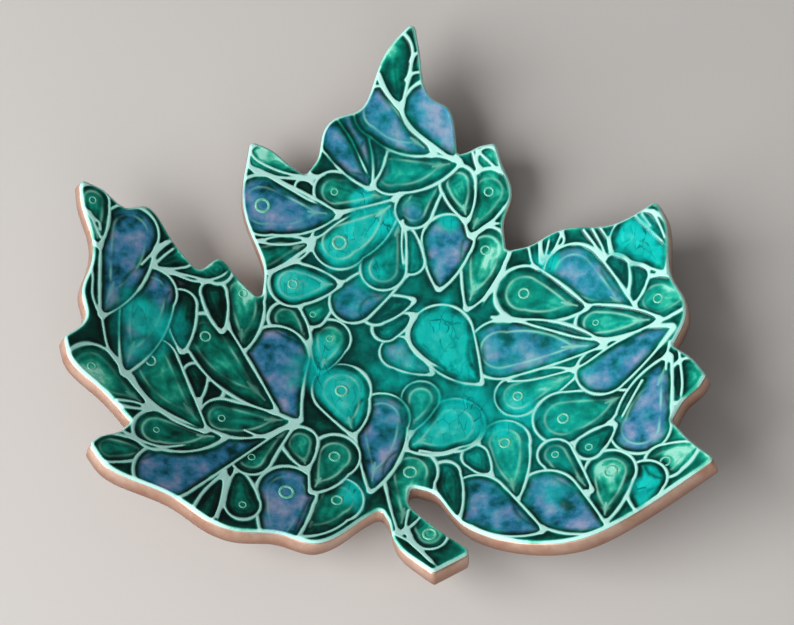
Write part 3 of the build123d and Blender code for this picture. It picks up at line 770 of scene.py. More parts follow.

# %% [markdown]
# Glaze colour comes from depth. Just beside a line the glaze is deepest, because the slip stands up from the
# clay there, and it thins towards the middle of a drop and at the rim. It clouds over a few millimetres, and
# each pool got a little more or less of it. The depth also falls from left to right, which is painted light
# and shade: the left lobes come out darker and the right lobe paler, as the light falls more fully on it. The
# numbers in the sums are shares of full depth.

# %% Glaze depth
line_side = 0.36 * MM
deep_reach = 0.70 * MM
rim_reach = 0.6 * MM
swirl_size, cloud_spread = 5 * MM, 6 * MM
glaze_of_pool = np.array([glaze for glaze, _ in pools] + ["none"])


def in_pools_of(glaze):
    """Mask of the points that lie in pools of this glaze."""
    return glaze_of_pool[pool] == glaze


beside = np.clip(to_line - line_side, 0, None)
# Painted light and shade: a share that grows towards the right lobe and thins the glaze there, so that the
# left lobes are painted darker and the right lobe paler.
painted_light_rightwards = np.clip(grid_x / (0.36 * leaf_width) + 0.55, 0, 1)
ripple = 0.06 * np.sin(bulb_light * 15 + 2.5 * wander(grid_x, grid_y, swirl_size, 7)) * (pool >= 0)
cloud = 0.07 * wander(grid_x, grid_y, cloud_spread, 9)
depth = 0.47 + 0.50 * np.exp(-beside / deep_reach) - 0.24 * dome - 0.26 * thin_spot + ripple + cloud
# Gaps and pools alike get the painted shade on the left and the painted light on the right.
depth = np.where(pool < 0, depth + 0.26 - 0.22 * painted_light_rightwards, depth + 0.06 - 0.06 * painted_light_rightwards)
depth += np.append(np.random.default_rng(11).uniform(-0.08, 0.08, len(pools)), 0)[pool]
depth -= 0.42 * np.exp(-to_edge / rim_reach)
for shares in thin_glaze_shares:
    part, spot = spot_at(*shares)
    depth[part] -= spot
# The deep pools get the same painted shade on the left lobes.
depth = np.where(in_pools_of("deep"), depth + 0.20 - 0.08 * painted_light_rightwards, depth)
tenths = np.percentile(depth[in_leaf], [10, 50, 90]).round(2)
print("Glaze depth, lowest tenth, middle and highest tenth:", tenths)

# %% [markdown]
# Violet glaze and turquoise glass stay clear of the lines that they pool between, and the patches add to
# them. Each mask is stored on the mesh's points as an attribute, and the materials read it. A line is
# narrower than three steps of the grid, so its mask would come out jagged. What is stored instead is how
# many spreads away the line is, which is straight enough between points, and the material turns that into
# the line.

# %% Colour masks
clear_of_line, mask_fade = 0.15 * MM, 1.1 * MM
wide = np.clip((beside - clear_of_line) / mask_fade, 0, 1)
wide = wide * wide * (3 - 2 * wide)
violet = np.where(in_pools_of("violet"), wide, 0)
turquoise = np.where(in_pools_of("turquoise"), wide * 0.85, 0)
for name, *shares in patch_shares:
    part, spot = spot_at(*shares)
    if name == "turquoise":
        turquoise[part] = np.maximum(turquoise[part], spot)
        violet[part] *= 1 - 0.9 * spot * (spot.max() > 0.5)
    else:
        violet[part] = np.maximum(violet[part], spot * wide[part])
        turquoise[part] *= 1 - spot
depth = np.clip(depth * (1 - 0.55 * turquoise), 0, 1)
slip_reach = np.sqrt(-np.log(np.clip(slip * (1 - 0.40 * turquoise), 0.002, 1)))
fine_reach = np.sqrt(-np.log(np.clip(fine_line, 0.002, 1)))
print("Share of the face under violet and turquoise:", violet[in_leaf].mean().round(3),
      turquoise[in_leaf].mean().round(3))

# %% [markdown]
# ## From grid to pieces
#
# Every glaze in every part of the leaf becomes a piece of its own, with the lines of slip as separate pieces.
# First come the triangles of the whole face. Their outermost points move onto the outline, down to where the
# rim has rolled over.

# %% Triangles of the grid
def border_edges(faces):
    """The edges that only one face has, each in that face's direction."""
    edges = np.concatenate([faces[:, [0, 1]], faces[:, [1, 2]], faces[:, [2, 0]]])
    span = faces.max() + 1
    forward, backward = edges[:, 0] * span + edges[:, 1], edges[:, 1] * span + edges[:, 0]
    return edges[~np.isin(forward, backward)]


number_at = np.arange(rows * columns).reshape(rows, columns)
a, b = number_at[:-1, :-1], number_at[:-1, 1:]
c, d = number_at[1:, :-1], number_at[1:, 1:]
even = (np.arange(rows - 1) % 2 == 0)[:, None]
triangles = np.concatenate([
    np.stack([a, b, np.where(even, c, d)], axis=-1).reshape(-1, 3),
    np.stack([np.where(even, b, a), d, c], axis=-1).reshape(-1, 3),
])
triangles = triangles[in_leaf.ravel()[triangles].all(axis=1)]
plan_x, plan_y = grid_x.ravel().copy(), grid_y.ravel().copy()
outer = np.unique(border_edges(triangles))
plan_x[outer], plan_y[outer] = edge_x.ravel()[outer], edge_y.ravel()[outer]
flat_sink = sink.ravel().copy()
flat_sink[outer] = rim_roll
print("Triangles on the face:", len(triangles), " points on its rim:", len(outer))

# %% [markdown]
# The face is bent over a ball, so a height is a distance from the ball's centre. Shading directions come from
# the height field itself, and not from each piece, so that no seam shows where two pieces meet.

# %% Shading directions
def on_bowl(x, y, radius):
    """Points on a ball about the dish's centre, under or over the given plan places on the glazed face."""
    stretch = radius / dish_radius
    z = dish_centre - stretch * np.sqrt(dish_radius**2 - x * x - y * y)
    return np.stack([x * stretch, y * stretch, z], axis=-1)


field = on_bowl(grid_x, grid_y, dish_radius + sink)
east, north = np.zeros_like(field), np.zeros_like(field)
east[:, 1:-1] = field[:, 2:] - field[:, :-2]
north[1:-1] = field[2:] - field[:-2]
surface_normals = np.cross(east, north)
surface_normals /= np.linalg.norm(surface_normals, axis=-1, keepdims=True) + 1e-30
surface_normals = surface_normals.reshape(-1, 3)
print("Lowest point of the face in mm:", round(float(field[in_leaf][:, 2].min()) / MM, 2))

# %% [markdown]
# Each point names a piece: its pool's, or the slip of the nearest lobe. A triangle goes to the piece that two
# of its three points name, and where all three differ, to the middle one in the list.

# %% Which piece each triangle belongs to
piece_names = ["slip_lines_" + lobe for lobe in lobes]
piece_names += sorted({f"{glaze}_pools_{lobe}" for glaze, lobe in pools})
pool_piece = np.array([piece_names.index(f"{glaze}_pools_{lobe}") for glaze, lobe in pools])
point_piece = np.where(pool >= 0, pool_piece[pool], lobe_number).ravel()
corner_pieces = np.sort(point_piece[triangles], axis=1)
two_alike = corner_pieces[:, 0] == corner_pieces[:, 1]
triangle_piece = np.where(two_alike, corner_pieces[:, 0], corner_pieces[:, 1])
print("Pieces of the face:", len(piece_names))

# %% [markdown]
# Where two patches of one piece touch at a single point, the wall below that point would belong to both, and
# the piece wouldn't be a clean solid. Such a point is doubled, once for each fan of triangles round it, and
# the copies move a hundredth of a millimetre apart.

# %% Points where fans of triangles meet
fan_shift = 0.012 * MM


def part_fans(faces, points):
    """Doubles each point at which separate fans of triangles meet. Returns the faces, each point's origin,
    and a small shift in plan that draws the doubled points apart, each into its own fan."""
    faces, origin, shift = faces.copy(), list(points), {}
    starts = np.bincount(border_edges(faces)[:, 0], minlength=len(points))
    for point in np.flatnonzero(starts > 1):
        left = list(np.flatnonzero((faces == point).any(axis=1)))
        fans = []
        while left:
            fan, around = [left[0]], set(faces[left[0]]) - {point}
            grown = True
            while grown:
                grown = [f for f in left if f not in fan and (set(faces[f]) - {point}) & around]
                for f in grown:
                    fan.append(f)
                    around |= set(faces[f]) - {point}
            left = [f for f in left if f not in fan]
            fans.append(fan)
        here = np.array([plan_x[points[point]], plan_y[points[point]]])
        for number, fan in enumerate(fans):
            corners = np.array(origin)[faces[fan]]
            middle = np.array([plan_x[corners].mean(), plan_y[corners].mean()])
            copy = point if number == 0 else len(origin)
            if number:
                faces[fan] = np.where(faces[fan] == point, copy, faces[fan])
                origin.append(origin[point])
            shift[copy] = fan_shift * unit(middle - here)
    shifts = np.zeros((len(origin), 2))
    for copy, move in shift.items():
        shifts[copy] = move
    return faces, np.array(origin), shifts


# %% [markdown]
# Blender takes whole arrays of points and faces at once, which is far quicker than one face at a time. The
# shading directions and the masks go in the same way.

# %% A mesh object from arrays
def solid_mesh(name, points, faces, normals=None):
    """A mesh object from arrays, shaded smooth, with each point's shading direction where it is given."""
    mesh = bpy.data.meshes.new(name)
    mesh.vertices.add(len(points))
    mesh.vertices.foreach_set("co", np.asarray(points, np.float32).ravel())
    mesh.loops.add(faces.size)
    mesh.loops.foreach_set("vertex_index", faces.astype(np.int32).ravel())
    mesh.polygons.add(len(faces))
    mesh.polygons.foreach_set("loop_start", np.arange(0, faces.size, faces.shape[1], dtype=np.int32))
    mesh.update(calc_edges=True)
    mesh.validate()
    mesh.shade_smooth()
    if normals is not None:
        mesh.normals_split_custom_set_from_vertices(np.asarray(normals, np.float32))
    piece = bpy.data.objects.new(name, mesh)
    bpy.context.scene.collection.objects.link(piece)
    return piece


def add_attribute(piece, name, values):
    """Stores one number for each point of a piece, for its material to read."""
    attribute = piece.data.attributes.new(name, "FLOAT", "POINT")
    attribute.data.foreach_set("value", np.asarray(values, np.float32))


# %% [markdown]
# To close a piece, its triangles are copied down to the glaze's underside, turned over, and joined to the top
# by a wall along the border.

# %% The pieces of the face
face_fields = {"slip_reach": slip_reach, "glaze_depth": depth, "violet": violet, "turquoise": turquoise,
               "fine_reach": fine_reach}
face_pieces = {}
for number, name in enumerate(piece_names):
    mine = triangles[triangle_piece == number]
    if not len(mine):
        continue
    points, local = np.unique(mine, return_inverse=True)
    faces, origin, shifts = part_fans(local.reshape(-1, 3), points)
    x, y = plan_x[origin] + shifts[:, 0], plan_y[origin] + shifts[:, 1]
    top = on_bowl(x, y, dish_radius + flat_sink[origin])
    bottom = on_bowl(x, y, dish_radius + glaze_thickness)
    border = border_edges(faces)
    count = len(origin)
    walls = np.concatenate([
        np.stack([border[:, 1], border[:, 0], border[:, 0] + count], axis=1),
        np.stack([border[:, 1], border[:, 0] + count, border[:, 1] + count], axis=1),
    ])
    all_faces = np.concatenate([faces, faces[:, ::-1] + count, walls])
    bottom_normals = (bottom - [0, 0, dish_centre]) / (dish_radius + glaze_thickness)
    normals = np.vstack([surface_normals[origin], bottom_normals])
    piece = solid_mesh(name, np.vstack([top, bottom]), all_faces, normals)
    for field, values in face_fields.items():
        add_attribute(piece, field, np.tile(values.ravel()[origin], 2))
    face_pieces[name] = piece
print("Triangles of each piece:", {name: len(p.data.polygons) for name, p in face_pieces.items()})

# %% [markdown]
# ## The clay body and its foot
#
# The body fills what is left: the wall, square to the face, and the underside. Its two broad sides are filled
# with triangles from the outline and a coarse grid of points inside it.

# %% A filled side
half_span = 60 * MM
ring_points = 120


def moved_in(line, distance):
    """The outline moved inwards, square to itself."""
    way = np.roll(line, -1, axis=0) - np.roll(line, 1, axis=0)
    way /= np.hypot(*way.T)[:, None]
    return line + distance * np.stack([-way[:, 1], way[:, 0]], axis=1)


def filled(line, step, rings=()):
    """Triangles that fill a closed line, with a coarse grid and any rings of points inside."""
    places = np.arange(-half_span, half_span, step)
    xs, ys = np.meshgrid(places, places)
    extra = [np.stack([xs.ravel(), ys.ravel()], axis=1)]
    for radius in rings:
        angles = np.linspace(0, math.tau, ring_points, endpoint=False)
        extra.append(radius * np.stack([np.cos(angles), np.sin(angles)], axis=1))
    points = np.vstack([line, *extra])
    ends = np.roll(line, -1, axis=0)
    keep = np.ones(len(points), bool)
    for i in range(len(line), len(points)):
        x, y = points[i]
        crossed = (line[:, 1] > y) != (ends[:, 1] > y)
        s, e = line[crossed], ends[crossed]
        inside = (x < s[:, 0] + (y - s[:, 1]) * (e[:, 0] - s[:, 0]) / (e[:, 1] - s[:, 1])).sum() % 2 == 1
        keep[i] = inside and np.hypot(*(line - points[i]).T).min() > 0.4 * step
    points = points[keep]
    edges = [(i, (i + 1) % len(line)) for i in range(len(line))]
    found, _, faces, _, _, _ = delaunay_2d_cdt([tuple(p) for p in points], edges, [], 1, 1e-9)
    return np.array(found), np.array(faces)


# %% [markdown]
# The wall is made of loops of the outline, each on its own ball. It goes straight down for a while, and then
# its lower edge is rounded, as wet clay is by a damp sponge. The paint's brush marks make it slightly wavy.

# %% The wall
straight_share, rounded_share = 0.42, 0.58
edge_inset = 0.72 * MM
brush_height, brush_size = 0.05 * MM, 6 * MM
loop_sizes = [(glaze_thickness, 0), (0.28 * clay_thickness, 0)]
for turn in np.linspace(0, math.pi / 2, 9):
    level = (straight_share + rounded_share * math.sin(turn)) * clay_thickness
    loop_sizes.append((level, edge_inset * (1 - math.cos(turn))))
brush = brush_height * wander(outline[:, 0], outline[:, 1], brush_size, 5) + brush_height
loops = []
for level, inset in loop_sizes:
    soft = brush * max(math.sin(math.pi * level / clay_thickness), 0) ** 0.5
    loops.append(moved_in(outline, (inset + soft)[:, None]))
around = len(outline)
body_rows = [on_bowl(*loop.T, dish_radius + level) for loop, (level, _) in zip(loops, loop_sizes)]
body_faces = []
for ring in range(len(loops) - 1):
    upper, lower = ring * around + np.arange(around), (ring + 1) * around + np.arange(around)
    upper_next, lower_next = np.roll(upper, -1), np.roll(lower, -1)
    body_faces.append(np.stack([upper, lower, upper_next], axis=1))
    body_faces.append(np.stack([upper_next, lower, lower_next], axis=1))
print("Wall:", len(loops), "loops of", around, "points")

# %% [markdown]
# The two filled sides share their outline points with the first and the last loop. A ring of points under the
# middle keeps the place round where the ball meets the foot, and everything lower is pressed flat there.

# %% The body
top_step, under_step = 2.5 * MM, 1.5 * MM
foot_gap = 0.18 * MM
same_place = 1e-7


def add_side(plan, plan_faces, loop, first_of_loop, level, turned):
    """Adds a filled side: its outline points are those of the wall's loop, and its other points are new."""
    first_new = sum(len(row) for row in body_rows)
    matched = np.empty(len(plan), int)
    new = 0
    for i, place in enumerate(plan):
        gaps = np.hypot(*(loop - place).T)
        nearest = int(gaps.argmin())
        if gaps[nearest] < same_place:
            matched[i] = first_of_loop + nearest
        else:
            matched[i] = first_new + new
            new += 1
    free = matched >= first_new
    body_rows.append(on_bowl(plan[free, 0], plan[free, 1], dish_radius + level))
    body_faces.append(matched[plan_faces[:, ::-1] if turned else plan_faces])


seat_radius = math.sqrt(underside_radius**2 - (dish_centre - foot_gap) ** 2) * dish_radius / underside_radius
add_side(*filled(loops[0], top_step), loops[0], 0, glaze_thickness, False)
add_side(*filled(loops[-1], under_step, rings=(seat_radius,)), loops[-1], (len(loops) - 1) * around,
         clay_thickness, True)
body_points, body_faces = np.vstack(body_rows), np.concatenate(body_faces)
body_points[:, 2] = np.maximum(body_points[:, 2], foot_gap)
clay_piece = solid_mesh("copper_painted_slab", body_points, body_faces)
# Painted shade: how far down the wall each point lies, which the copper paint turns darker towards the lower
# edge.
painted_shade_down_wall = (np.linalg.norm(body_points - [0, 0, dish_centre], axis=1) - dish_radius) / clay_thickness
add_attribute(clay_piece, "painted_shade_down_wall", np.clip(painted_shade_down_wall, 0, 1) ** 1.4)
print("Body triangles:", len(body_faces))

# %% [markdown]
# The foot is a flat disc where the ball was sanded down. It is a thin turned shape: a profile spun round
# the upright axis, closed at the middle of both faces. Its lower edge is eased, so that it doesn't scratch
# a table.

# %% Foot
foot_height = 0.9 * MM
# Each step of the profile lies this far inside the foot's radius, and this high.
foot_steps = [(1.2 * MM, foot_height), (0.15 * MM, 0.16 * MM), (0.25 * MM, 0.03 * MM), (0.45 * MM, 0.0)]
turns = 96
angles = np.linspace(0, math.tau, turns, endpoint=False)
foot_points, foot_faces = [[0, 0, foot_height]], []
for inset, height in foot_steps:
    radius = foot_radius - inset
    foot_points += [[radius * math.cos(t), radius * math.sin(t), height] for t in angles]
foot_points.append([0, 0, 0])
last = len(foot_points) - 1
for i in range(turns):
    j = (i + 1) % turns
    foot_faces.append([0, 1 + i, 1 + j])
    for ring in range(len(foot_steps) - 1):
        upper, lower = 1 + ring * turns, 1 + (ring + 1) * turns
        foot_faces += [[upper + i, lower + i, lower + j], [upper + i, lower + j, upper + j]]
    lower = 1 + (len(foot_steps) - 1) * turns
    foot_faces.append([last, lower + j, lower + i])
foot_piece = solid_mesh("bare_clay_foot", np.array(foot_points), np.array(foot_faces))
print("Foot triangles:", len(foot_faces))

# %% [markdown]
# ## Eyelets
#
# In many drops the maker set a small ring of slip. The same ring repeats at many sizes, which is work for
# Geometry Nodes: a ring is made once, a copy is set on each point at that point's own size, and the copies
# become real mesh at the end, because an export drops instances.

# %% One small function that adds a node
def add_node(tree, kind, inputs=None, links=None, **settings):
    """Adds a node, sets its properties and its inputs' values, and links sockets to its inputs."""
    node = tree.nodes.new(kind)
    for key, value in settings.items():
        setattr(node, key, value)
    for key, value in (inputs or {}).items():
        node.inputs[key].default_value = value
    for key, socket in (links or {}).items():
        tree.links.new(socket, node.inputs[key])
    return node


# %% Eyelet tree
ring_sides, tube_sides = 28, 8
tube_share, flatness = 0.25, 0.45


def eyelet_tree(material):
    """Sets a ring on each point, as wide as the point's own radius and facing its own way."""
    tree = bpy.data.node_groups.new("eyelet rings", "GeometryNodeTree")
    tree.interface.new_socket("Geometry", in_out="INPUT", socket_type="NodeSocketGeometry")
    for name, value in (("Tube share", tube_share), ("Flatness", flatness)):
        tree.interface.new_socket(name, in_out="INPUT", socket_type="NodeSocketFloat").default_value = value
    tree.interface.new_socket("Geometry", in_out="OUTPUT", socket_type="NodeSocketGeometry")
    start = add_node(tree, "NodeGroupInput")
    circle = add_node(tree, "GeometryNodeCurvePrimitiveCircle", {"Resolution": ring_sides, "Radius": 1.0})
    tube = add_node(tree, "GeometryNodeCurvePrimitiveCircle", {"Resolution": tube_sides},
                    {"Radius": start.outputs["Tube share"]})
    ring = add_node(tree, "GeometryNodeCurveToMesh",
                    links={"Curve": circle.outputs[0], "Profile Curve": tube.outputs[0]})
    points = add_node(tree, "GeometryNodeMeshToPoints", links={"Mesh": start.outputs["Geometry"]})
    up = add_node(tree, "GeometryNodeInputNamedAttribute", {"Name": "up"}, data_type="FLOAT_VECTOR")
    turn = add_node(tree, "FunctionNodeAlignRotationToVector", links={"Vector": up.outputs["Attribute"]},
                    axis="Z")
    radius = add_node(tree, "GeometryNodeInputNamedAttribute", {"Name": "ring_radius"}, data_type="FLOAT")
    height = add_node(tree, "ShaderNodeMath", operation="MULTIPLY",
                      links={0: radius.outputs["Attribute"], 1: start.outputs["Flatness"]})
    scale = add_node(tree, "ShaderNodeCombineXYZ", links={
        "X": radius.outputs["Attribute"], "Y": radius.outputs["Attribute"], "Z": height.outputs[0]})
    copies = add_node(tree, "GeometryNodeInstanceOnPoints", links={
        "Points": points.outputs[0], "Instance": ring.outputs[0], "Rotation": turn.outputs[0],
        "Scale": scale.outputs[0]})
    real = add_node(tree, "GeometryNodeRealizeInstances", links={"Geometry": copies.outputs[0]})
    smooth = add_node(tree, "GeometryNodeSetShadeSmooth", links={"Geometry": real.outputs[0]})
    painted = add_node(tree, "GeometryNodeSetMaterial", {"Material": material},
                       {"Geometry": smooth.outputs[0]})
    add_node(tree, "NodeGroupOutput", links={"Geometry": painted.outputs[0]})
    print("Eyelet tree:", len(tree.nodes), "nodes")
    return tree


# %% [markdown]
# Each ring sits in the middle of its drop's round end, just clear of the glaze there, and faces the centre of
# the ball. A modifier's inputs are set by their identifiers, because names can repeat.

# %% Eyelets on their seats
seat_lift = 0.02 * MM


def sink_at(place):
    """How far the glaze lies below full slip at a place, from the nearest grid point."""
    row = round((place[1] - low[1]) / row_step)
    column = round((place[0] - low[0]) / mesh_step - (row % 2) / 2)
    return sink[row, column]


def eyelet_seats():
    """A mesh of one point for each eyelet, which knows its ring's radius and which way is up."""
    seats, ups = [], []
    for place, _ in eyelets:
        seat = on_bowl(*place, dish_radius + sink_at(place) + seat_lift)
        way = np.array([0, 0, dish_centre]) - seat
        seats.append(seat)
        ups.append(way / np.linalg.norm(way))
    mesh = bpy.data.meshes.new("eyelet seats")
    mesh.from_pydata([tuple(seat) for seat in seats], [], [])
    up = mesh.attributes.new("up", "FLOAT_VECTOR", "POINT")
    up.data.foreach_set("vector", np.array(ups, np.float32).ravel())
    radii = mesh.attributes.new("ring_radius", "FLOAT", "POINT")
    radii.data.foreach_set("value", np.array([radius for _, radius in eyelets], np.float32))
    return mesh


def make_eyelets(material):
    """All eyelets as one plain mesh object."""
    holder = bpy.data.objects.new("eyelet_holder", eyelet_seats())
    bpy.context.scene.collection.objects.link(holder)
    modifier = holder.modifiers.new("rings", "NODES")
    modifier.node_group = eyelet_tree(material)
    sockets = {item.name: item.identifier for item in modifier.node_group.interface.items_tree
               if item.in_out == "INPUT"}
    modifier[sockets["Tube share"]] = tube_share
    modifier[sockets["Flatness"]] = flatness
    bpy.context.view_layer.update()
    graph = bpy.context.evaluated_depsgraph_get()
    mesh = bpy.data.meshes.new_from_object(holder.evaluated_get(graph), depsgraph=graph)
    holder.modifiers.remove(modifier)
    bpy.data.objects.remove(holder)
    mesh.name = "eyelet_rings"
    piece = bpy.data.objects.new("eyelet_rings", mesh)
    bpy.context.scene.collection.objects.link(piece)
    return piece


# %% [markdown]
# ## Materials
#
# All glazes are one kind of thing: coloured glass melted over clay. Glass has an IOR of 1.5, so a smooth
# glaze looks wet by itself and needs no coat. The material is built in layers, as the dish is: green by its
# depth, violet over it, remelted turquoise glass, and the pale slip that shows through. The masks on the
# mesh say where each layer lies.

# %% Colour
def linear(hex_colour):
    """An sRGB hex colour as the linear numbers that Blender works in."""
    values = [int(hex_colour[i:i + 2], 16) / 255 for i in (1, 3, 5)]
    return [v / 12.92 if v <= 0.04045 else ((v + 0.055) / 1.055) ** 2.4 for v in values] + [1.0]


def set_ramp(node, stops):
    """Gives a colour ramp its stops, as (place, colour) pairs."""
    elements = node.color_ramp.elements
    while len(elements) < len(stops):
        elements.new(1.0)
    for element, (place, colour) in zip(elements, stops):
        element.position = place
        element.color = linear(colour)
    return node


# %% [markdown]
# Green glaze is pale mint where the glass is thin and nearly black where it is deep. It runs while it
# melts, so its depth varies over a millimetre or two. On a line itself it thins to nothing.

# %% The green layer
run_size = 2.4 * MM
green_stops = [(0.0, "#9EECD6"), (0.12, "#3EC2A1"), (0.27, "#0B977F"), (0.47, "#006B5A"), (0.72, "#003A31"),
               (1.0, "#001613")]


def green_layer(tree, place, depth_mask, slip_away, depth_shift):
    """Green by depth. Returns the colour, how deep the glaze is, and the runs in it."""
    runs = add_node(tree, "ShaderNodeTexNoise", {"Scale": 1 / run_size, "Detail": 4.0, "Roughness": 0.6},
                    {"Vector": place}).outputs["Fac"]
    uneven = add_node(tree, "ShaderNodeMapRange",
                      {"To Min": depth_shift - 0.375, "To Max": depth_shift + 0.375},
                      {"Value": runs}).outputs["Result"]
    off_line = add_node(tree, "ShaderNodeMapRange", {"From Min": 0.1, "From Max": 2.0}, {"Value": slip_away},
                        interpolation_type="SMOOTHSTEP").outputs["Result"]
    deep = add_node(tree, "ShaderNodeMath", links={0: depth_mask, 1: off_line, 2: uneven},
                    operation="MULTIPLY_ADD", use_clamp=True).outputs[0]
    green = set_ramp(add_node(tree, "ShaderNodeValToRGB", links={"Fac": deep}), green_stops)
    return green.outputs["Color"], deep, runs


# %% [markdown]
# Violet-blue glaze parts into two colours as it cools: grey lavender clouds a few millimetres wide in blue,
# with dark specks between them.

# %% The violet layer
cloud_size = 3.8 * MM
violet_stops = [(0.33, "#032F3E"), (0.41, "#1C6586"), (0.49, "#3A84B0"), (0.57, "#6A90BC"), (0.68, "#9FA6CC")]


def violet_layer(tree, place, colour, mask):
    """Lays violet-blue glaze over a colour where the mask says so."""
    clouds = add_node(tree, "ShaderNodeTexNoise", {"Scale": 1 / cloud_size, "Detail": 4.0, "Roughness": 0.55},
                      {"Vector": place}).outputs["Fac"]
    violet = set_ramp(add_node(tree, "ShaderNodeValToRGB", links={"Fac": clouds}), violet_stops)
    share = add_node(tree, "ShaderNodeMath", {1: 0.90}, {0: mask}, operation="MULTIPLY").outputs[0]
    return add_node(tree, "ShaderNodeMix", links={0: share, 6: colour, 7: violet.outputs["Color"]},
                    data_type="RGBA").outputs[2]


# %% [markdown]
# Remelted glass is clear turquoise. It shrinks more than the clay as it cools, so fine cracks split it into
# long facets of a few millimetres. The cracks show only where the glass is thick. A Voronoi pattern has both:
# its cells are the facets, and the distance to their edges gives the cracks. It is bent by a noise, because
# real cracks are never straight.

# %% The turquoise layer
bend_size, bend_reach, facet_size = 3.3 * MM, 1.6 * MM, 2.1 * MM
glass_stops = [(0.0, "#00B3AD"), (1.0, "#04D4CD")]
deep_glass = "#014A48"


def crack_mask(tree, drawn, mask, runs):
    """Where cracks show, from 0 to 1."""
    cracks = add_node(tree, "ShaderNodeTexVoronoi", {"Scale": 1 / facet_size}, {"Vector": drawn},
                      feature="DISTANCE_TO_EDGE")
    line = add_node(tree, "ShaderNodeMapRange", {"From Max": 0.055, "To Min": 0.9, "To Max": 0.0},
                    {"Value": cracks.outputs["Distance"]}).outputs["Result"]
    in_places = add_node(tree, "ShaderNodeMapRange", {"From Min": 0.42, "From Max": 0.52},
                         {"Value": runs}).outputs["Result"]
    thick = add_node(tree, "ShaderNodeMapRange", {"From Min": 0.72, "From Max": 0.95},
                     {"Value": mask}).outputs["Result"]
    shown = add_node(tree, "ShaderNodeMath", links={0: in_places, 1: thick}, operation="MULTIPLY").outputs[0]
    return add_node(tree, "ShaderNodeMath", links={0: line, 1: shown}, operation="MULTIPLY").outputs[0]


def glass_layer(tree, place, colour, mask, deep, runs):
    """Lays crazed turquoise glass over a colour where the mask says so, darker where the glaze is deep."""
    bent = add_node(tree, "ShaderNodeTexNoise", {"Scale": 1 / bend_size, "Detail": 2.0}, {"Vector": place})
    shifted = add_node(tree, "ShaderNodeVectorMath", {1: (bend_reach,) * 3},
                       {0: bent.outputs["Color"], 2: place}, operation="MULTIPLY_ADD")
    drawn = add_node(tree, "ShaderNodeMapping", {"Rotation": (0.0, 0.0, 0.5), "Scale": (1.25, 0.5, 1.0)},
                     {"Vector": shifted.outputs[0]}).outputs[0]
    facets = add_node(tree, "ShaderNodeTexVoronoi", {"Scale": 1 / facet_size}, {"Vector": drawn},
                      feature="F1")
    tone = add_node(tree, "ShaderNodeSeparateColor", links={"Color": facets.outputs["Color"]})
    glass = set_ramp(add_node(tree, "ShaderNodeValToRGB", links={"Fac": tone.outputs["Red"]}), glass_stops)
    cracked = crack_mask(tree, drawn, mask, runs)
    crazed = add_node(tree, "ShaderNodeMix", {7: linear(deep_glass)}, {0: cracked, 6: glass.outputs["Color"]},
                      data_type="RGBA").outputs[2]
    shade = add_node(tree, "ShaderNodeMapRange", {"From Min": 0.25, "From Max": 0.75, "To Max": 0.75},
                     {"Value": deep}).outputs["Result"]
    shaded = add_node(tree, "ShaderNodeMix", {7: linear(deep_glass)}, {0: shade, 6: crazed},
                      data_type="RGBA").outputs[2]
    share = add_node(tree, "ShaderNodeMath", {1: 0.94}, {0: mask}, operation="MULTIPLY").outputs[0]
    return add_node(tree, "ShaderNodeMix", links={0: share, 6: colour, 7: shaded},
                    data_type="RGBA").outputs[2]


# %% [markdown]
# Slip shows through thin glaze: fine lines faintly, and full lines as pale mint. The mesh holds how far
# away a line is, in spreads of its bell. The bell itself is e to the minus distance squared.

# %% The slip layer
fine_line_mint, slip_mint = "#93E4CC", "#BDF2E9"


def slip_layer(tree, colour, slip_away, fine_away):
    """Lets the fine lines and the full lines of slip show through a colour."""
    squared = add_node(tree, "ShaderNodeMath", links={0: fine_away, 1: fine_away},
                       operation="MULTIPLY").outputs[0]
    bell = add_node(tree, "ShaderNodeMath", {0: math.exp(-1)}, {1: squared}, operation="POWER").outputs[0]
    fine = add_node(tree, "ShaderNodeMath", {1: 0.75}, {0: bell}, operation="MULTIPLY").outputs[0]
    colour = add_node(tree, "ShaderNodeMix", {7: linear(fine_line_mint)}, {0: fine, 6: colour},
                      data_type="RGBA").outputs[2]
    full = add_node(tree, "ShaderNodeMapRange", {"From Min": 1.05, "From Max": 0.38}, {"Value": slip_away},
                    interpolation_type="SMOOTHSTEP").outputs["Result"]
    return add_node(tree, "ShaderNodeMix", {7: linear(slip_mint)}, {0: full, 6: colour},
                    data_type="RGBA").outputs[2]


# %% [markdown]
# The finished glaze is smooth between the lines, with a roughness of 0.1, and duller over the slip, where
# it is too thin to level out. Its specular level is under the usual 0.5, so that a large soft lamp doesn't
# veil the colours.

# %% A glaze material
masks = ("slip_reach", "glaze_depth", "violet", "turquoise", "fine_reach")


def glaze_material(name, depth_shift=0.0):
    """A glossy glaze over slip, whose masks come from the mesh. The shift makes it deeper all over."""
    material = bpy.data.materials.new(name)
    material.use_nodes = True
    tree = material.node_tree
    tree.nodes.clear()
    place = add_node(tree, "ShaderNodeTexCoord").outputs["Object"]
    slip_away, depth_mask, violet_mask, glass_mask, fine_away = (
        add_node(tree, "ShaderNodeAttribute", attribute_name=mask).outputs["Fac"] for mask in masks)
    colour, deep, runs = green_layer(tree, place, depth_mask, slip_away, depth_shift)
    colour = violet_layer(tree, place, colour, violet_mask)
    colour = glass_layer(tree, place, colour, glass_mask, deep, runs)
    colour = slip_layer(tree, colour, slip_away, fine_away)
    rough = add_node(tree, "ShaderNodeMapRange", {"From Max": 1.4, "To Min": 0.30, "To Max": 0.10},
                     {"Value": slip_away})
    shader = add_node(tree, "ShaderNodeBsdfPrincipled", {"IOR": 1.5, "Specular IOR Level": 0.30},
                      {"Base Color": colour, "Roughness": rough.outputs["Result"]})
    add_node(tree, "ShaderNodeOutputMaterial", links={"Surface": shader.outputs[0]})
    return material


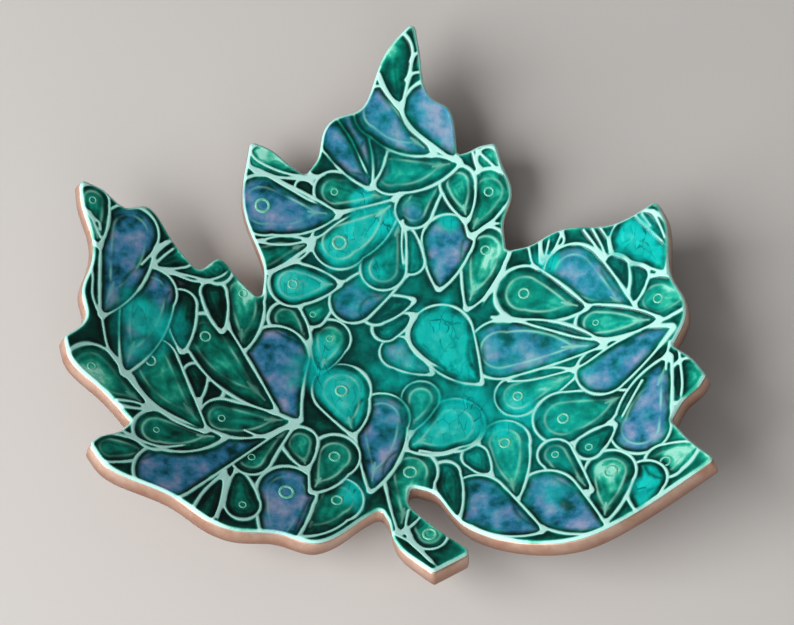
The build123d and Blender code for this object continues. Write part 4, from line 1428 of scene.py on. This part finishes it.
# %% [markdown]
# Paint and bare clay are simpler. Both are grains of two close tones, and the grain also makes the surface
# slightly rough. The grains are the brush's patches of 5 mm on the copper, sand of 0.4 mm on the foot and
# specks of 0.7 mm on the eyelets. The copper is painted darker towards the wall's lower edge: this is painted
# shade, where the wall curves under and gets less light.

# %% A painted or bare surface
relief_depth = 0.2 * MM


def grainy_material(name, light_hex, dark_hex, metallic, roughness, grain_size, relief, shade_hex=None):
    """Two tones in grains of a real size. The shade colour, if there is one, is painted shade that comes in
    down the wall.
    """
    material = bpy.data.materials.new(name)
    material.use_nodes = True
    tree = material.node_tree
    tree.nodes.clear()
    place = add_node(tree, "ShaderNodeTexCoord").outputs["Object"]
    grain = add_node(tree, "ShaderNodeTexNoise", {"Scale": 1 / grain_size, "Detail": 6.0, "Roughness": 0.65},
                     {"Vector": place}).outputs["Fac"]
    tone = add_node(tree, "ShaderNodeValToRGB", links={"Fac": grain})
    colour = set_ramp(tone, [(0.32, dark_hex), (0.62, light_hex)]).outputs["Color"]
    if shade_hex:
        # Painted shade: the copper is mixed darker further down the wall.
        wall_shade = add_node(tree, "ShaderNodeAttribute", attribute_name="painted_shade_down_wall").outputs["Fac"]
        colour = add_node(tree, "ShaderNodeMix", {7: linear(shade_hex)}, {0: wall_shade, 6: colour},
                          data_type="RGBA").outputs[2]
    rough = add_node(tree, "ShaderNodeMapRange", {"To Min": roughness - 0.08, "To Max": roughness + 0.10},
                     {"Value": grain}).outputs["Result"]
    bump = add_node(tree, "ShaderNodeBump", {"Strength": relief, "Distance": relief_depth}, {"Height": grain})
    shader = add_node(tree, "ShaderNodeBsdfPrincipled", {"Metallic": metallic}, {
        "Base Color": colour, "Roughness": rough, "Normal": bump.outputs["Normal"]})
    add_node(tree, "ShaderNodeOutputMaterial", links={"Surface": shader.outputs[0]})
    return material


# %% The dish's materials
# Glossy green glass that darkens in every hollow and lets the slip shine through.
green_glaze = glaze_material("green glaze pooled over slip")
# The same glaze in the smallest drops, where it pooled deepest: the eye takes them for dark gaps.
deep_glaze = glaze_material("deep green glaze in small pools", 0.04)
# A cooler glaze with cloudy lavender in it, which looks soft under its gloss.
violet_glaze = glaze_material("violet and blue mottled glaze")
# Clear glass over pale clay: the brightest places of the face, with dark hair cracks.
crazed_glass = glaze_material("crazed turquoise glass melted into glaze")
# Slip under a film of glaze: pale, a little duller than the pools, and the lightest lines on the dish.
slip_glaze = glaze_material("thin glaze over trailed slip")
# Metal flakes in a clear binder, brushed on: half metallic, so it shines softly and mirrors nothing sharply.
# The third copper colour is painted shade, laid in towards the wall's lower edge.
copper_paint = grainy_material("copper paint brushed on fired clay", "#E4C5B2", "#C2947C", metallic=0.55,
                               roughness=0.32, grain_size=5 * MM, relief=0.25, shade_hex="#82503A")
# Fired clay with no glaze: quite matt, and sandy to the eye.
bare_clay = grainy_material("bare fired clay, sanded flat", "#DCCDB8", "#C7B49A", metallic=0.0,
                            roughness=0.9, grain_size=MM / 2.6, relief=0.5)
# A bead of slip under a thin film of glaze, which makes each eyelet a small bright ring.
ring_glaze = grainy_material("pale glaze on an eyelet of slip", "#8CDCC2", "#52B69A", metallic=0.0,
                             roughness=0.2, grain_size=MM / 1.5, relief=0.1)
finishes = (green_glaze, deep_glaze, violet_glaze, crazed_glass, slip_glaze, copper_paint, bare_clay,
            ring_glaze)
print("Materials:", [finish.name for finish in finishes])

# %% [markdown]
# Each piece rides on the dish's one body. A glaze piece stands for the CAD node of the same glaze and lobe,
# and the painted slab stands for the CAD part's clay body.

# %% Materials onto pieces
glaze_finish = {"green": (green_glaze, "green_glaze"), "deep": (deep_glaze, "deep_green_glaze"),
                "violet": (violet_glaze, "violet_glaze"), "turquoise": (crazed_glass, "turquoise_glass"),
                "slip": (slip_glaze, "green_glaze")}
for name, piece in face_pieces.items():
    material, slot = glaze_finish[name.split("_")[0]]
    piece.data.materials.append(material)
    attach(piece, "root")
    if "_pools_" in name:
        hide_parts(name.replace("_pools_", "_glaze_"))
clay_piece.data.materials.append(copper_paint)
foot_piece.data.materials.append(bare_clay)
for piece in (clay_piece, foot_piece):
    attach(piece, "root")
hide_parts("clay_body")

ring_piece = make_eyelets(ring_glaze)
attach(ring_piece, "root")
print("Eyelet triangles:", sum(len(p.vertices) - 2 for p in ring_piece.data.polygons))

# %% [markdown]
# ## Floor, light and camera
#
# The floor is a plain pale sheet. One large soft lamp stands low at the left, as a window would, so that the
# raised lines cast a little shade. A weak one fills from the front, and the world adds a little light all
# round.

# %% Floor
half_floor = 3.0
floor_corners = [(-half_floor, -half_floor, 0), (half_floor, -half_floor, 0), (half_floor, half_floor, 0),
                 (-half_floor, half_floor, 0)]
floor_mesh = bpy.data.meshes.new("floor")
floor_mesh.from_pydata(floor_corners, [], [(0, 1, 2, 3)])
floor = bpy.data.objects.new("floor", floor_mesh)
bpy.context.scene.collection.objects.link(floor)
floor_material = bpy.data.materials.new("plain pale floor")
floor_material.use_nodes = True
floor_shader = floor_material.node_tree.nodes["Principled BSDF"]
floor_shader.inputs["Base Color"].default_value = linear("#D3CFCB")
floor_shader.inputs["Roughness"].default_value = 0.9
floor_mesh.materials.append(floor_material)
print("Floor side in metres:", 2 * half_floor)

# %% Lamps and world
lamp_aim = (0, 0, 10 * MM)


def add_lamp(name, place, width, power):
    """A square soft lamp that looks at the middle of the dish."""
    lamp = bpy.data.lights.new(name, "AREA")
    lamp.shape = "SQUARE"
    lamp.size = width
    lamp.energy = power
    holder = bpy.data.objects.new(name, lamp)
    bpy.context.scene.collection.objects.link(holder)
    holder.location = place
    way = np.array(place, float) - np.array(lamp_aim, float)
    yaw, tilt = math.atan2(way[1], way[0]), math.atan2(math.hypot(way[0], way[1]), way[2])
    holder.rotation_euler = (0, tilt, yaw)
    print(f"Lamp {name}: {width} m wide, {power} W, {np.linalg.norm(way):.2f} m away")


add_lamp("window", (-0.60, -0.26, 0.38), 0.72, 9.4)
add_lamp("fill", (-0.05, -0.70, 0.45), 0.7, 1.7)
world = bpy.data.worlds.new("studio")
bpy.context.scene.world = world
world.use_nodes = True
world.node_tree.nodes["Background"].inputs["Color"].default_value = linear("#F1F1EF")
world.node_tree.nodes["Background"].inputs["Strength"].default_value = 0.15

# %% [markdown]
# The camera looks down at 66 degrees from level, from arm's length, with a long lens. The lens follows from
# the picture's width in pixels and from how many pixels a tangent of 1 spans, as a focal length.

# %% Camera
look_down = math.radians(66)
camera_distance = 450 * MM
camera_aim = np.array([1.5, 2.0, 5.2]) * MM
picture_width, focal_pixels, sensor_width = 794, 2574, 36
camera_data = bpy.data.cameras.new("camera")
camera_data.sensor_width = sensor_width
camera_data.lens = sensor_width * focal_pixels / picture_width
camera_data.clip_start = 10 * MM
camera = bpy.data.objects.new("camera", camera_data)
bpy.context.scene.collection.objects.link(camera)
camera.location = camera_aim + camera_distance * np.array([0, -math.cos(look_down), math.sin(look_down)])
camera.rotation_euler = (math.radians(90) - look_down, 0, 0)
bpy.context.scene.camera = camera
bpy.context.scene.view_settings.view_transform = "Standard"
print("Lens in mm:", round(camera_data.lens, 1), " camera at:", [round(v, 3) for v in camera.location])
